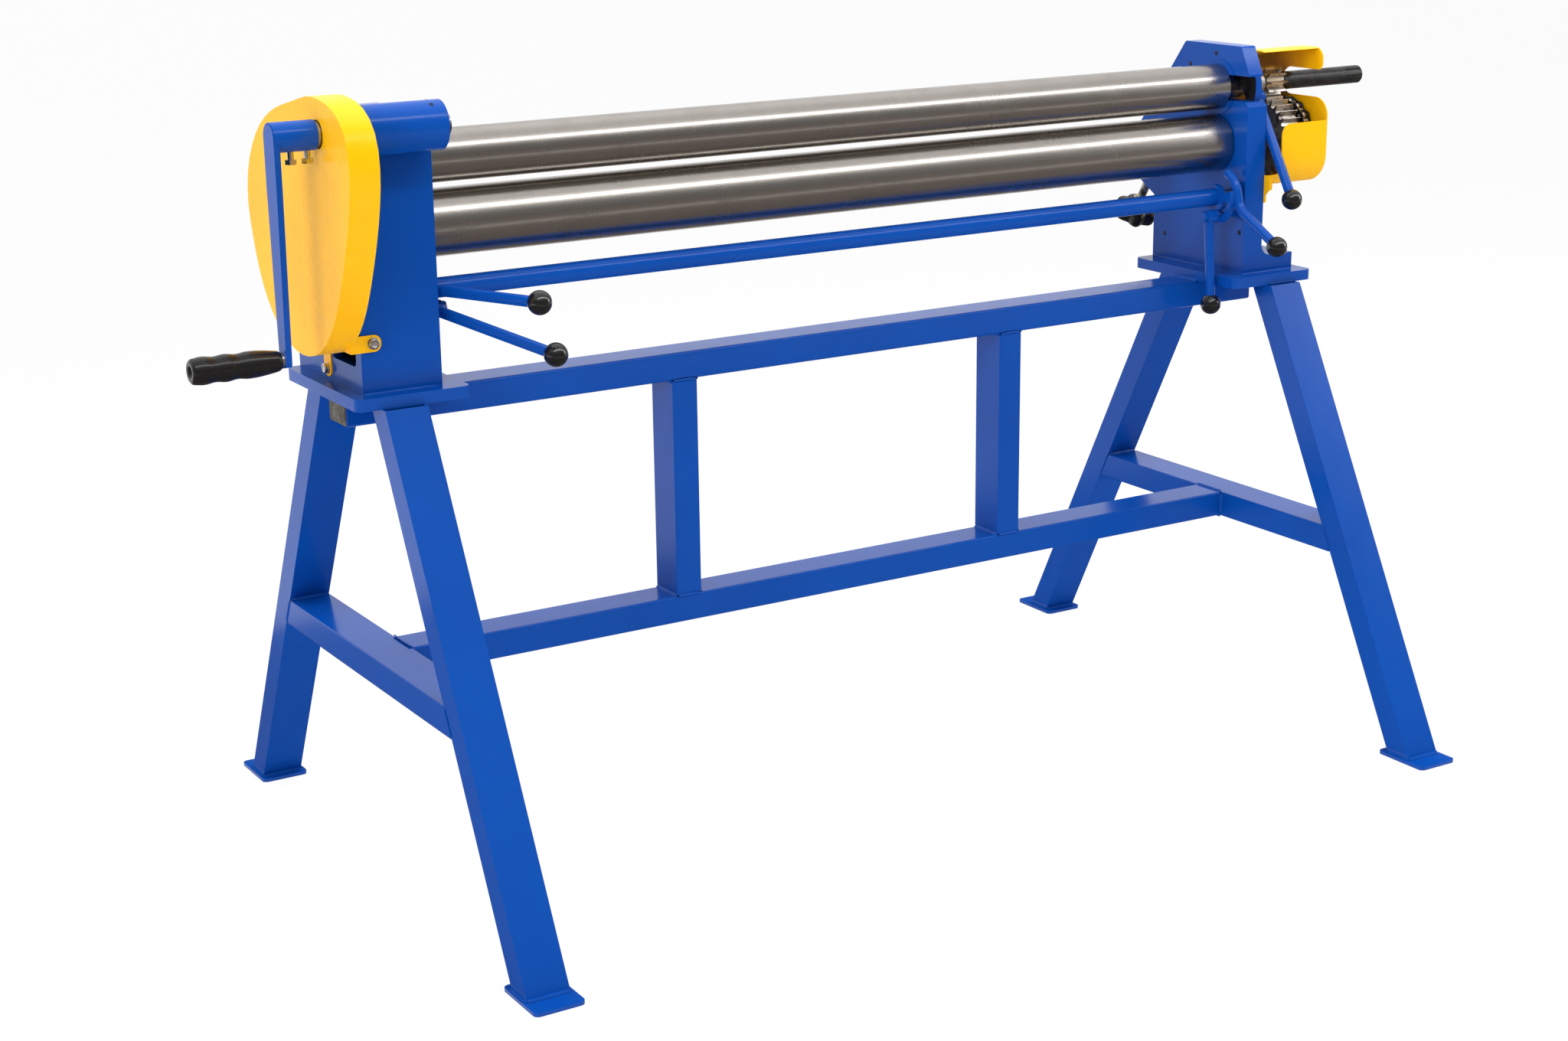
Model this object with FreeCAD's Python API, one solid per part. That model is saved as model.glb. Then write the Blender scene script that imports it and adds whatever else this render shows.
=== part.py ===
import FreeCAD, Part
import math
import os

# Hand-cranked three-roll slip roll on a welded A-frame stand.

Vector = FreeCAD.Vector

# Axes: X runs along the rolls, Y points to the rear, Z is up. While the pieces are made, X is zero
# midway between the two side frames; each is saved moved along X, so that the origin is on the floor
# at the middle of the overall length and midway between the front and rear feet. Lengths are in mm.

# ---------------------------------------------------------------- rolls
roll_length = 1374.0
roll_side_gap = 3.0
upper_roll_radius = 35.0
lower_roll_radius = 45.0
rear_roll_radius = 45.0
roll_y = -20.0
lower_roll_z = 905.6
roll_gap = 7.4
lower_travel_up = 5.9
lower_travel_down = 1.0
rear_travel = 36.0
rear_tilt = 30.0
rear_roll_drop = 25.6

# ---------------------------------------------------------------- journals and fits
running_gap = 0.05
guide_gap = 0.1
clear_gap = 0.3
upper_journal_radius = 19.95
lower_journal_radius = 22.5
rear_journal_radius = 17.5
drive_shaft_radius = 20.0
sprocket_shaft_radius = 15.0
pinion_stub_radius = 9.0

# ---------------------------------------------------------------- side frames
frame_thickness = 27.5
frame_skin = 8.0
frame_front = -92.5
base_below_roll = 200.6
head_above_roll = 65.0
head_chamfer_drop = 42.0
head_chamfer_depth = 20.5
head_rear_y = 59.0
head_rear_slope = 1.29
bulge_margin = 54.766
foot_rear = 126.0
screw_face_distance = 63.0
post_relief = 8.0
flange_width = 38.6
flange_thickness = 12.0
foot_width = 103.0
foot_height = 26.0
foot_fillet = 18.0
boss_radius = 43.0
boss_height = 2.0
column_width = 103.0
column_wall = 14.0
column_skin = 12.0
lip_depth = 12.0
lip_reach = 8.0
window_margin = 17.5
window_width = 80.0
window_above_base = 33.0
window_below_top = 58.0

# ---------------------------------------------------------------- bearing blocks
lower_block_width = 70.0
lower_block_below = 58.6
lower_block_above = 32.4
rear_block_width = 54.0
rear_block_length = 60.0

# ---------------------------------------------------------------- stand
tube_width = 60.0
tube_depth = 40.0
tube_wall = 3.0
leg_outset = 31.5
leg_reach = 480.9
leg_top_reach = 128.8
base_plate_thickness = 16.4
base_plate_overhang = 25.8
base_plate_lever_gap = 5.5
base_plate_outer_reach = 34.0
base_plate_corner = 10.0
foot_plate_length = 94.0
foot_plate_width = 71.0
foot_plate_thickness = 5.0
foot_plate_inset = 16.1
brace_height = 291.5
top_beam_left_reach = 45.0
top_beam_right_reach = 16.0
post_x = 285.0

# ---------------------------------------------------------------- crank and its gear train
crank_forward = 28.5
crank_mesh_slack = 5.454
crank_throw = 276.0
crank_shaft_radius = 12.0
housing_radius = 32.0
housing_outer_reach = 7.0
housing_inner_reach = 9.0
drive_module = 5.0
drive_teeth = 54
crank_teeth = 13
drive_addendum = 4.5
drive_dedendum = 4.6
drive_thinning = 1.3
drive_mesh_offset = 2.44
drive_face_width = 25.0
drive_gear_outset = 30.5
arm_thickness = 8.0
arm_top_width = 34.0
arm_end_width = 22.0
hub_radius = 19.0
hub_length = 50.0
grip_length = 116.0
grip_gap = 4.0
spindle_radius = 6.0
set_screw_radius = 4.0
set_screw_offset = 27.0
set_screw_spacing = 21.5
hex_across_flats = 13.0
hex_thickness = 6.0

# ---------------------------------------------------------------- left guard
guard_depth = 40.0
guard_gap = 5.0
guard_outset = 52.0
guard_tab_reach = 28.0
guard_tab_drop = 134.6
guard_tab_radius = 11.0
guard_link_forward = 58.0
side_tab_half = 12.0
side_tab_behind = 15.0
side_tab_drop = 157.6
side_riser_height = 20.0
side_screw_rise = 16.0
guard_screw_radius = 6.5
guard_screw_height = 6.0
sheet = 2.0
left_guard_sides = 50
left_guard_margins = (
    (0, 17.5), (25, 27.8), (50, 26.1), (75, 24.8), (100, 39.2), (112, 59.6), (122, 76.9),
    (132, 94.3), (142, 99.5), (152, 85.1), (162, 62.7), (175, 38.2), (195, 17.6), (220, 13.0),
    (250, 14.8), (280, 12.5), (305, 9.9), (330, 9.0),
)

# ---------------------------------------------------------------- right gears, sprockets, chain
pair_mesh_slack = 5.4
pair_pinion_teeth = 10
pair_gear_teeth = 31
pair_addendum = 4.5
pair_dedendum = 5.4
pair_thinning = 0.9
pair_outset = 62.5
pair_face_width = 35.0
sprocket_teeth = 18
chain_pitch = 19.05
chain_run_links = 8
chain_outset = 16.0
roller_radius = 5.95
sprocket_hub_wall = 13.0
sprocket_width = 9.0
plate_thickness = 1.7
link_half_height = 8.2

# ---------------------------------------------------------------- pull bar and roll lock
pull_bar_radius = 14.25
pull_bar_reach = 173.0
lock_ring_radius = 58.0
lock_ring_thickness = 12.0
lock_swing = 60.0
lock_gap_clearance = 1.0
lock_root_forward = 40.0
lock_root_drop = 16.0
lock_knob_forward = 128.0
lock_knob_drop = 167.0
lock_boss_radius = 11.0
lever_radius = 7.5
ball_radius = 16.0

# ---------------------------------------------------------------- torque tube and clamps
torque_forward = 37.0
torque_tube_radius = 13.5
torque_left_gap = 12.0
torque_right_gap = 35.0
torque_stub_radius = 10.0
sector_radius = 42.0
sector_thickness = 10.0
sector_hub_radius = 20.0
sector_slot_width = 11.0
sector_slot_turn = (-164.0, -93.0)
left_slot_turn = (-155.0, -84.0)
sector_margin_turn = 9.0
sector_root_turn = 15.0
cam_throw = 17.3
cam_nose_radius = 20.7
cam_hub_radius = 16.0
clamp_stud_radius = 5.0
clamp_hub_radius = 10.0
clamp_hub_length = 23.0
left_clamp_hub_length = 18.3
clamp_stud_forward = 10.0
clamp_stud_drop = 28.0
clamp_nut_radius = 8.5
clamp_nut_thickness = 6.0
hook_bend_radius = 40.0
hook_ease_radius = 30.0
hook_ease_reach = 26.0
cap_thickness = 8.0
right_lever_forward = 133.0
right_lever_drop = 62.0
left_lever_inward = 68.0
left_lever_forward = 185.0
left_lever_rise = 3.0
right_clamp_inward = 8.0
right_clamp_forward = 11.0
right_clamp_drop = 137.0
left_clamp_inward = 100.0
left_clamp_forward = 171.0
left_clamp_drop = 44.0

# ---------------------------------------------------------------- rear adjustment
screw_radius = 7.0
knob_distance = 127.0
knob_thickness = 33.0
knob_radius = 36.0
knob_lobes = 6
knob_nut_radius = 12.5
knob_nut_thickness = 6.0

# ---------------------------------------------------------------- right guard
right_guard_outset = 14.0
right_guard_overhang = 12.5
right_guard_rise = 56.0
right_guard_crest_forward = 22.0
right_guard_back_drop = 7.0
right_guard_top_setback = 2.5
right_guard_margin = 6.0
right_panel_rise = 31.4
right_panel_inset = 28.0
right_panel_corner = 18.0
right_tab_drop = 47.6
right_tab_height = 43.0

# ---------------------------------------------------------------- derived places
upper_roll_z = lower_roll_z + lower_roll_radius + roll_gap + upper_roll_radius
chain_centres = chain_run_links * chain_pitch
rear_roll_z = lower_roll_z - rear_roll_drop
rear_roll_y = roll_y + math.sqrt(chain_centres ** 2 - rear_roll_drop ** 2)
half_roll = roll_length / 2.0
frame_inner = half_roll + roll_side_gap
frame_outer = frame_inner + frame_thickness
frame_base = lower_roll_z - base_below_roll
frame_top = upper_roll_z + head_above_roll
head_chamfer_z = frame_top - head_chamfer_drop
head_front_y = frame_front + head_chamfer_depth
bulge_rear = rear_roll_y + bulge_margin
pocket_inner = frame_inner + frame_skin
pocket_middle = (pocket_inner + frame_outer) / 2.0
block_inner = pocket_inner + clear_gap
block_outer = frame_outer - clear_gap
column_outer = frame_inner + column_width
window_front = frame_front + window_margin
window_rear = window_front + window_width
window_bottom = frame_base + window_above_base
window_top = frame_top - window_below_top
plate_top = frame_base
plate_bottom = frame_base - base_plate_thickness
leg_x = frame_outer + leg_outset
base_plate_outer = leg_x + tube_width / 2.0 + base_plate_outer_reach
base_plate_front = frame_front - base_plate_overhang
foot_plate_centre = leg_reach - foot_plate_inset
top_beam_left = -leg_x - top_beam_left_reach
top_beam_right = leg_x + top_beam_right_reach
beam_bottom = plate_bottom - tube_depth
brace_top = brace_height + tube_depth
screw_direction = Vector(0, -math.sin(math.radians(rear_tilt)), math.cos(math.radians(rear_tilt)))
leg_slope = (leg_reach - leg_top_reach) / plate_bottom
leg_flat_depth = tube_depth * math.sqrt(1.0 + leg_slope ** 2)
ball_flat = math.sqrt(ball_radius ** 2 - (lever_radius + clear_gap) ** 2)
sector_slot_radius = math.hypot(clamp_stud_forward, clamp_stud_drop)
torque_y = roll_y - torque_forward
torque_z = lower_roll_z - lower_block_below - clear_gap - cam_nose_radius
torque_tube_left = torque_left_gap - frame_inner
torque_tube_right = frame_inner - torque_right_gap
right_clamp_x = torque_tube_right - clamp_hub_length + right_clamp_inward
base_plate_inner = right_clamp_x + lever_radius + base_plate_lever_gap
crank_y = frame_front - crank_forward
crank_centres = drive_module * (drive_teeth + crank_teeth) / 2.0 + crank_mesh_slack
crank_z = lower_roll_z + math.sqrt(crank_centres ** 2 - (crank_y - roll_y) ** 2)
housing_outer_end = -column_outer - housing_outer_reach
housing_inner_end = housing_inner_reach - frame_inner
drive_gear_x = -column_outer - drive_gear_outset
guard_face_x = -column_outer - guard_outset
arm_outer_x = guard_face_x - guard_gap - hub_length - arm_thickness
pair_inner_x = frame_outer + pair_outset
pair_module = 2.0 * (upper_roll_z - lower_roll_z - pair_mesh_slack) / (pair_pinion_teeth + pair_gear_teeth)
pinion_outer = pair_inner_x + pair_face_width
stub_end = pinion_outer + 20.0
chain_x = pinion_outer + chain_outset
pull_bar_end = pinion_outer + pull_bar_reach
right_guard_x = chain_x + right_guard_outset
right_guard_front = frame_front - right_guard_overhang
right_guard_upper_front = frame_front + right_guard_top_setback
right_guard_crest = roll_y - right_guard_crest_forward
right_guard_top = upper_roll_z + right_guard_rise
right_guard_back_top = upper_roll_z - right_guard_back_drop
right_panel_top = lower_roll_z + right_panel_rise
right_panel_left = pair_inner_x - right_panel_inset
collar_inner = frame_outer + lock_ring_thickness + 2 * lever_radius + 10.5
collar_outer = pair_inner_x - 11.0
centre_shift = (grip_gap + grip_length - arm_outer_x - pull_bar_end) / 2.0
chain_slope = math.atan2(rear_roll_z - lower_roll_z, rear_roll_y - roll_y)


# ================================================================ building blocks
def block(x0, x1, y0, y1, z0, z1):
    return Part.makeBox(x1 - x0, y1 - y0, z1 - z0, Vector(x0, y0, z0))


def rod_x(x0, x1, y, z, radius):
    return Part.makeCylinder(radius, x1 - x0, Vector(x0, y, z), Vector(1, 0, 0))


def rod_between(start, end, radius):
    run = end - start
    return Part.makeCylinder(radius, run.Length, start, run)


def in_yz(x):
    return lambda y, z: Vector(x, y, z)


def in_xz(y):
    return lambda x, z: Vector(x, y, z)


def in_xy(z):
    return lambda x, y: Vector(x, y, z)


def rounded_wire(corners, place):
    """Closed outline from (u, v, corner radius) in order."""
    count = len(corners)
    starts = []
    ends = []
    middles = []
    for index in range(count):
        u, v, radius = corners[index]
        corner = Vector(u, v, 0)
        before = Vector(corners[index - 1][0], corners[index - 1][1], 0) - corner
        after = Vector(corners[(index + 1) % count][0], corners[(index + 1) % count][1], 0) - corner
        before.normalize()
        after.normalize()
        half = before.getAngle(after) / 2.0
        bisector = (before + after).normalize() if radius else Vector(0, 0, 0)
        setback = radius / math.tan(half)
        starts.append(corner + before * setback)
        ends.append(corner + after * setback)
        middles.append(corner + bisector * (radius / math.sin(half) - radius))
    edges = []
    for index in range(count):
        here = place(ends[index - 1].x, ends[index - 1].y)
        there = place(starts[index].x, starts[index].y)
        if (there - here).Length > 0.001:
            edges.append(Part.LineSegment(here, there).toShape())
        if corners[index][2]:
            middle = place(middles[index].x, middles[index].y)
            leaving = place(ends[index].x, ends[index].y)
            edges.append(Part.Arc(there, middle, leaving).toShape())
    return Part.Wire(edges)


def inset(corners, distance):
    """Moves every side of a counter-clockwise outline inwards by a distance."""
    count = len(corners)
    moved = []
    for index in range(count):
        u0, v0 = corners[index - 1][:2]
        u1, v1 = corners[index][:2]
        u2, v2 = corners[(index + 1) % count][:2]
        first = math.atan2(v1 - v0, u1 - u0)
        second = math.atan2(v2 - v1, u2 - u1)
        turn = (second - first + math.pi) % (2 * math.pi) - math.pi
        middle = first + turn / 2.0 + math.pi / 2.0
        reach = distance / math.cos(turn / 2.0)
        radius = corners[index][2]
        new_radius = max(radius - distance, 0.5) if radius and turn > 0 else radius
        moved.append((u1 + reach * math.cos(middle), v1 + reach * math.sin(middle), new_radius))
    return moved


def prism_yz(corners, x0, x1):
    wire = rounded_wire([(c + (0,))[:3] for c in corners], in_yz(x0))
    return Part.Face(wire).extrude(Vector(x1 - x0, 0, 0))


def prism_xz(corners, y0, y1):
    wire = rounded_wire([(c + (0,))[:3] for c in corners], in_xz(y0))
    return Part.Face(wire).extrude(Vector(0, y1 - y0, 0))


def prism_xy(corners, z0, z1):
    wire = rounded_wire([(c + (0,))[:3] for c in corners], in_xy(z0))
    return Part.Face(wire).extrude(Vector(0, 0, z1 - z0))


def rectangle(u0, u1, v0, v1, radius=0):
    return [(u0, v0, radius), (u1, v0, radius), (u1, v1, radius), (u0, v1, radius)]


def slot_yz(x0, x1, y0, z0, y1, z1, radius):
    """Straight slot with round ends between two centres."""
    first = rod_x(x0, x1, y0, z0, radius)
    last = rod_x(x0, x1, y1, z1, radius)
    along = Vector(0, y1 - y0, z1 - z0)
    length = along.Length
    across = Vector(0, -along.z, along.y) * (radius / length)
    start = Vector(x0, y0, z0)
    end = Vector(x0, y1, z1)
    loop = [start + across, end + across, end - across, start - across, start + across]
    body = Part.Face(Part.makePolygon(loop)).extrude(Vector(x1 - x0, 0, 0))
    return body.fuse([first, last]).removeSplitter()


def turned(profile, y, z):
    """Solid of revolution about an axis along X, from (x, radius) points."""
    points = [Vector(profile[0][0], y, z)]
    points += [Vector(x, y, z + radius) for x, radius in profile]
    points += [Vector(profile[-1][0], y, z), points[0]]
    face = Part.Face(Part.makePolygon(points))
    return face.revolve(Vector(0, y, z), Vector(1, 0, 0), 360)


def mirrored(shape):
    return shape.mirror(Vector(0, 0, 0), Vector(1, 0, 0))


def along_screw(shape):
    """Takes a shape built about the origin, travel along Z, to the rear roll's slide."""
    placed = shape.copy()
    placed.rotate(Vector(0, 0, 0), Vector(1, 0, 0), rear_tilt)
    placed.translate(Vector(0, rear_roll_y, rear_roll_z))
    return placed


def join(first, *others):
    return first.fuse(list(others)).removeSplitter()


def save(name, shape):
    shape = shape.copy()
    shape.translate(Vector(centre_shift, 0, 0))
    shape.exportStep("parts/" + name + ".step")


# ================================================================ gears
def involute(angle):
    return math.tan(angle) - angle


def gear_wire(x, y, z, module, teeth, addendum, dedendum, thinning, phase, flank_points):
    """Involute outline in a YZ plane; one tooth is centred on the phase angle (from +Y to +Z)."""
    pitch = module * teeth / 2.0
    base = pitch * math.cos(math.radians(20.0))
    tip = pitch + addendum
    root = pitch - dedendum
    pitch_half = (math.pi * module / 2.0 - thinning) / 2.0 / pitch
    flank_start = max(base, root)

    def half_angle(radius):
        return pitch_half + involute(math.radians(20.0)) - involute(math.acos(min(base / radius, 1.0)))

    def point(radius, angle):
        return Vector(x, y + radius * math.cos(angle), z + radius * math.sin(angle))

    root_half = half_angle(flank_start)
    heights = [flank_start + (tip - flank_start) * step / flank_points for step in range(1, flank_points + 1)]
    points = []
    tooth_pitch = 2 * math.pi / teeth
    for index in range(teeth):
        centre = phase + index * tooth_pitch
        points.append(point(root, centre - root_half))
        for height in heights:
            points.append(point(height, centre - half_angle(height)))
        for height in reversed(heights):
            points.append(point(height, centre + half_angle(height)))
        points.append(point(root, centre + root_half))
    return Part.makePolygon(points + points[:1])


def disc_from(wire, x0, x1, y, z, bore):
    disc = Part.Face(wire).extrude(Vector(x1 - x0, 0, 0))
    return disc.cut(rod_x(x0 - 1, x1 + 1, y, z, bore))


# ================================================================ stand
def leg(side_x, side_y):
    x0 = side_x * leg_x - tube_width / 2.0
    x1 = side_x * leg_x + tube_width / 2.0
    low = foot_plate_thickness
    high = plate_bottom
    outer_low = leg_reach - leg_slope * low
    outer_high = leg_reach - leg_slope * high
    wall = tube_wall * leg_flat_depth / tube_depth
    outside = [
        (side_y * outer_low, low),
        (side_y * outer_high, high),
        (side_y * (outer_high - leg_flat_depth), high),
        (side_y * (outer_low - leg_flat_depth), low),
    ]
    inside = [
        (side_y * (outer_low - wall), low),
        (side_y * (outer_high - wall), high),
        (side_y * (outer_high - leg_flat_depth + wall), high),
        (side_y * (outer_low - leg_flat_depth + wall), low),
    ]
    tube = prism_yz(outside, x0, x1).cut(prism_yz(inside, x0 + tube_wall, x1 - tube_wall))
    centre_y = side_y * foot_plate_centre
    half_width = foot_plate_width / 2.0
    half_length = foot_plate_length / 2.0
    middle = side_x * leg_x
    pad = prism_xy(
        rectangle(middle - half_width, middle + half_width, centre_y - half_length, centre_y + half_length, 8.0),
        0.0,
        foot_plate_thickness,
    )
    return join(pad, tube)


def brace(side_x):
    x0 = side_x * leg_x - tube_width / 2.0
    x1 = side_x * leg_x + tube_width / 2.0
    low = leg_reach - leg_slope * brace_height - leg_flat_depth
    high = leg_reach - leg_slope * brace_top - leg_flat_depth
    outline = [(-low, brace_height), (low, brace_height), (high, brace_top), (-high, brace_top)]
    bore = block(
        x0 + tube_wall, x1 - tube_wall, -low, low, brace_height + tube_wall, brace_top - tube_wall
    )
    return prism_yz(outline, x0, x1).cut(bore)


def beam(x0, x1, z0, z1):
    half = tube_width / 2.0
    outside = block(x0, x1, -half, half, z0, z1)
    inside = block(x0, x1, -half + tube_wall, half - tube_wall, z0 + tube_wall, z1 - tube_wall)
    return outside.cut(inside)


def make_stand():
    for side_x, x_name in ((-1, "left"), (1, "right")):
        for side_y, y_name in ((-1, "front"), (1, "rear")):
            save("leg_" + x_name + "_" + y_name, leg(side_x, side_y))
        save("brace_" + x_name, brace(side_x))
        x0, x1 = sorted((side_x * base_plate_inner, side_x * base_plate_outer))
        outline = rectangle(x0, x1, base_plate_front, foot_rear, base_plate_corner)
        save("base_plate_" + x_name, prism_xy(outline, plate_bottom, plate_top))
    inner_brace = leg_x - tube_width / 2.0
    save("lower_beam", beam(-inner_brace, inner_brace, brace_height, brace_top))
    top = beam(top_beam_left + tube_wall, top_beam_right - tube_wall, beam_bottom, plate_bottom)
    half = tube_width / 2.0
    caps = []
    for x0 in (top_beam_left, top_beam_right - tube_wall):
        caps.append(block(x0, x0 + tube_wall, -half, half, beam_bottom, plate_bottom))
    save("top_beam", join(top, *caps))
    for side, name in ((-1, "left"), (1, "right")):
        x0 = side * post_x - tube_depth / 2.0
        x1 = side * post_x + tube_depth / 2.0
        outside = block(x0, x1, -half, half, brace_top, beam_bottom)
        inside = block(
            x0 + tube_wall, x1 - tube_wall, -half + tube_wall, half - tube_wall, brace_top, beam_bottom
        )
        save("post_" + name, outside.cut(inside))


# ================================================================ side frames
def screw_face_at(y):
    """Height of the slanted screw face at a given Y."""
    tilt = math.radians(rear_tilt)
    face_y = rear_roll_y + screw_face_distance * math.sin(tilt)
    face_z = rear_roll_z - screw_face_distance * math.cos(tilt)
    return face_z + (y - face_y) * math.tan(tilt)


def frame_outline(front_chamfer):
    rear_top = frame_top
    chamfer_end = frame_top - head_rear_slope * (bulge_rear - head_rear_y)
    corners = [
        (frame_front, frame_base, 0),
        (foot_rear, frame_base, 0),
        (foot_rear, screw_face_at(foot_rear), 4.0),
        (bulge_rear, screw_face_at(bulge_rear), 6.0),
        (bulge_rear, chamfer_end, 12.0),
        (head_rear_y, rear_top, 6.0),
    ]
    if front_chamfer:
        corners += [(head_front_y, frame_top, 5.0), (frame_front, head_chamfer_z, 3.0)]
    else:
        corners += [(frame_front, frame_top, 5.0)]
    return corners


def bearing_pockets():
    """Everything that the sliding blocks, the cam and the roll ends need inside a side frame."""
    half = lower_block_width / 2.0 + guide_gap
    low = lower_roll_z - lower_block_below - lower_travel_down - clear_gap
    high = lower_roll_z + lower_block_above + lower_travel_up + clear_gap
    cuts = [block(pocket_inner, frame_outer + 1, roll_y - half, roll_y + half, low, high)]
    cam_reach = cam_throw + cam_nose_radius + 1.0
    cuts.append(
        block(
            pocket_inner,
            frame_outer + 1,
            torque_y - cam_hub_radius - 1.0,
            torque_y + cam_reach,
            torque_z - cam_nose_radius - 2.5,
            low + 1.0,
        )
    )
    cuts.append(
        slot_yz(
            frame_inner - 5,
            frame_outer + 1,
            roll_y,
            lower_roll_z - lower_travel_down,
            roll_y,
            lower_roll_z + lower_travel_up,
            lower_journal_radius + 1.0,
        )
    )
    cuts.append(rod_x(frame_inner - 5, frame_outer + 1, torque_y, torque_z, torque_stub_radius + running_gap))
    half = rear_block_width / 2.0 + guide_gap
    reach = rear_block_length / 2.0 + clear_gap
    cuts.append(along_screw(block(pocket_inner, frame_outer + 1, -half, half, -reach, rear_travel + reach)))
    away = screw_direction * rear_travel
    cuts.append(
        slot_yz(
            frame_inner - 5,
            frame_outer + 1,
            rear_roll_y,
            rear_roll_z,
            rear_roll_y + away.y,
            rear_roll_z + away.z,
            rear_journal_radius + 1.0,
        )
    )
    hole = Part.makeCylinder(
        screw_radius + running_gap, screw_face_distance, Vector(pocket_middle, 0, -screw_face_distance - 5)
    )
    cuts.append(along_screw(hole))
    return cuts


def make_right_frame():
    plate = prism_yz(frame_outline(True), frame_inner, frame_outer)
    slot_half = upper_journal_radius + running_gap
    post_top = upper_roll_z - slot_half
    flange = prism_xz(
        [
            (frame_inner, frame_base),
            (frame_inner + foot_width, frame_base),
            (frame_inner + foot_width, frame_base + foot_height),
            (frame_inner + flange_width, frame_base + foot_height, foot_fillet),
            (frame_inner + flange_width, post_top),
            (frame_inner, post_top),
        ],
        frame_front,
        frame_front + flange_thickness,
    )
    foot = block(
        frame_inner,
        frame_inner + foot_width,
        frame_front,
        foot_rear,
        frame_base,
        frame_base + foot_height,
    )
    boss = rod_x(frame_inner - boss_height, frame_inner + 1, roll_y, upper_roll_z, boss_radius)
    body = join(plate, flange, foot, boss)
    cuts = bearing_pockets()
    cuts.append(rod_x(frame_inner - 5, frame_outer + 1, roll_y, upper_roll_z, slot_half))
    cuts.append(
        block(
            frame_inner - 5,
            frame_inner + flange_width + 1,
            frame_front - 1,
            roll_y,
            upper_roll_z - slot_half,
            upper_roll_z + slot_half,
        )
    )
    body = body.cut(cuts)
    relief = prism_yz(
        [
            (frame_front - 1, post_top + 1),
            (frame_front - 1, post_top - post_relief),
            (frame_front + post_relief, post_top + 1),
        ],
        frame_inner - 5,
        frame_inner + flange_width + 1,
    )
    save("right_frame", body.cut(relief).removeSplitter())


def make_left_frame():
    outline = frame_outline(False)
    body = prism_yz(outline, frame_inner, column_outer)
    lip = block(
        frame_inner - lip_reach, frame_inner, frame_front, frame_front + lip_depth, frame_base, frame_top
    )
    body = join(body, lip)
    cavity = prism_yz(inset(outline, column_wall), frame_outer, column_outer - column_skin)
    window = prism_yz(
        rectangle(window_front, window_rear, window_bottom, window_top, 8.0),
        frame_outer,
        column_outer + 1,
    )
    cuts = bearing_pockets()
    cuts.append(cavity)
    cuts.append(window)
    cuts.append(
        rod_x(frame_inner - 5, frame_outer + 1, roll_y, upper_roll_z, upper_journal_radius + running_gap)
    )
    body = mirrored(body.cut(cuts))
    seat = rod_x(
        housing_outer_end - 20, housing_inner_end + 20, crank_y, crank_z, housing_radius + guide_gap
    )
    save("left_frame", body.cut(seat))


def make_torque_caps():
    plate = prism_yz(
        rectangle(
            frame_front + column_wall + 0.5,
            torque_y + cam_throw + cam_nose_radius + 8.0,
            torque_z - cam_nose_radius - 9.0,
            lower_roll_z - lower_block_below - 6.0,
            5.0,
        ),
        frame_outer,
        frame_outer + cap_thickness,
    )
    bore = rod_x(frame_outer - 1, frame_outer + 20, torque_y, torque_z, torque_stub_radius + running_gap)
    cap = plate.cut(bore)
    save("torque_cap_right", cap)
    save("torque_cap_left", mirrored(cap))


# ================================================================ rolls and blocks
def save_roll(name, radius, left_stub, right_stub, y, z):
    """Barrel between two turned stub shafts that are seated on its end faces."""
    barrel = rod_x(-half_roll, half_roll, y, z, radius)
    save(name, Part.Compound([barrel, turned(left_stub, y, z), turned(right_stub, y, z)]))


def make_rolls():
    lock_end = frame_outer + lock_ring_thickness + 1.0
    left_stub = [(-frame_outer - 6.0, upper_journal_radius), (-half_roll, upper_journal_radius)]
    right_stub = [
        (half_roll, upper_journal_radius),
        (lock_end, upper_journal_radius),
        (lock_end, 15.0),
        (collar_inner, 15.0),
        (collar_inner, 22.0),
        (collar_outer, 22.0),
        (collar_outer, pinion_stub_radius),
        (stub_end, pinion_stub_radius),
    ]
    save_roll("upper_roll", upper_roll_radius, left_stub, right_stub, roll_y, upper_roll_z)

    shaft_end = chain_x + sprocket_width / 2.0 + 4.0
    left_stub = [
        (drive_gear_x - drive_face_width / 2.0 - 4.0, drive_shaft_radius),
        (-frame_outer, drive_shaft_radius),
        (-frame_outer, lower_journal_radius),
        (-half_roll, lower_journal_radius),
    ]
    right_stub = [
        (half_roll, lower_journal_radius),
        (frame_outer, lower_journal_radius),
        (frame_outer, drive_shaft_radius),
        (pinion_outer, drive_shaft_radius),
        (pinion_outer, sprocket_shaft_radius),
        (shaft_end, sprocket_shaft_radius),
    ]
    save_roll("lower_roll", lower_roll_radius, left_stub, right_stub, roll_y, lower_roll_z)

    left_stub = [(-frame_outer, rear_journal_radius), (-half_roll, rear_journal_radius)]
    right_stub = [
        (half_roll, rear_journal_radius),
        (frame_outer, rear_journal_radius),
        (frame_outer, sprocket_shaft_radius),
        (shaft_end, sprocket_shaft_radius),
    ]
    save_roll("rear_roll", rear_roll_radius, left_stub, right_stub, rear_roll_y, rear_roll_z)


def make_blocks():
    half = lower_block_width / 2.0
    low = lower_roll_z - lower_block_below
    high = lower_roll_z + lower_block_above
    outline = rectangle(roll_y - half, roll_y + half, low, high)
    bore = rod_x(frame_inner, frame_outer, roll_y, lower_roll_z, lower_journal_radius + running_gap)
    lower = prism_yz(outline, block_inner, block_outer).cut(bore)
    save("lower_block_right", lower)
    save("lower_block_left", mirrored(lower))
    half = rear_block_width / 2.0
    reach = rear_block_length / 2.0
    rear = along_screw(block(block_inner, block_outer, -half, half, -reach, reach))
    rear = rear.cut(
        rod_x(frame_inner, frame_outer, rear_roll_y, rear_roll_z, rear_journal_radius + running_gap)
    )
    save("rear_block_right", rear)
    save("rear_block_left", mirrored(rear))


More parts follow.
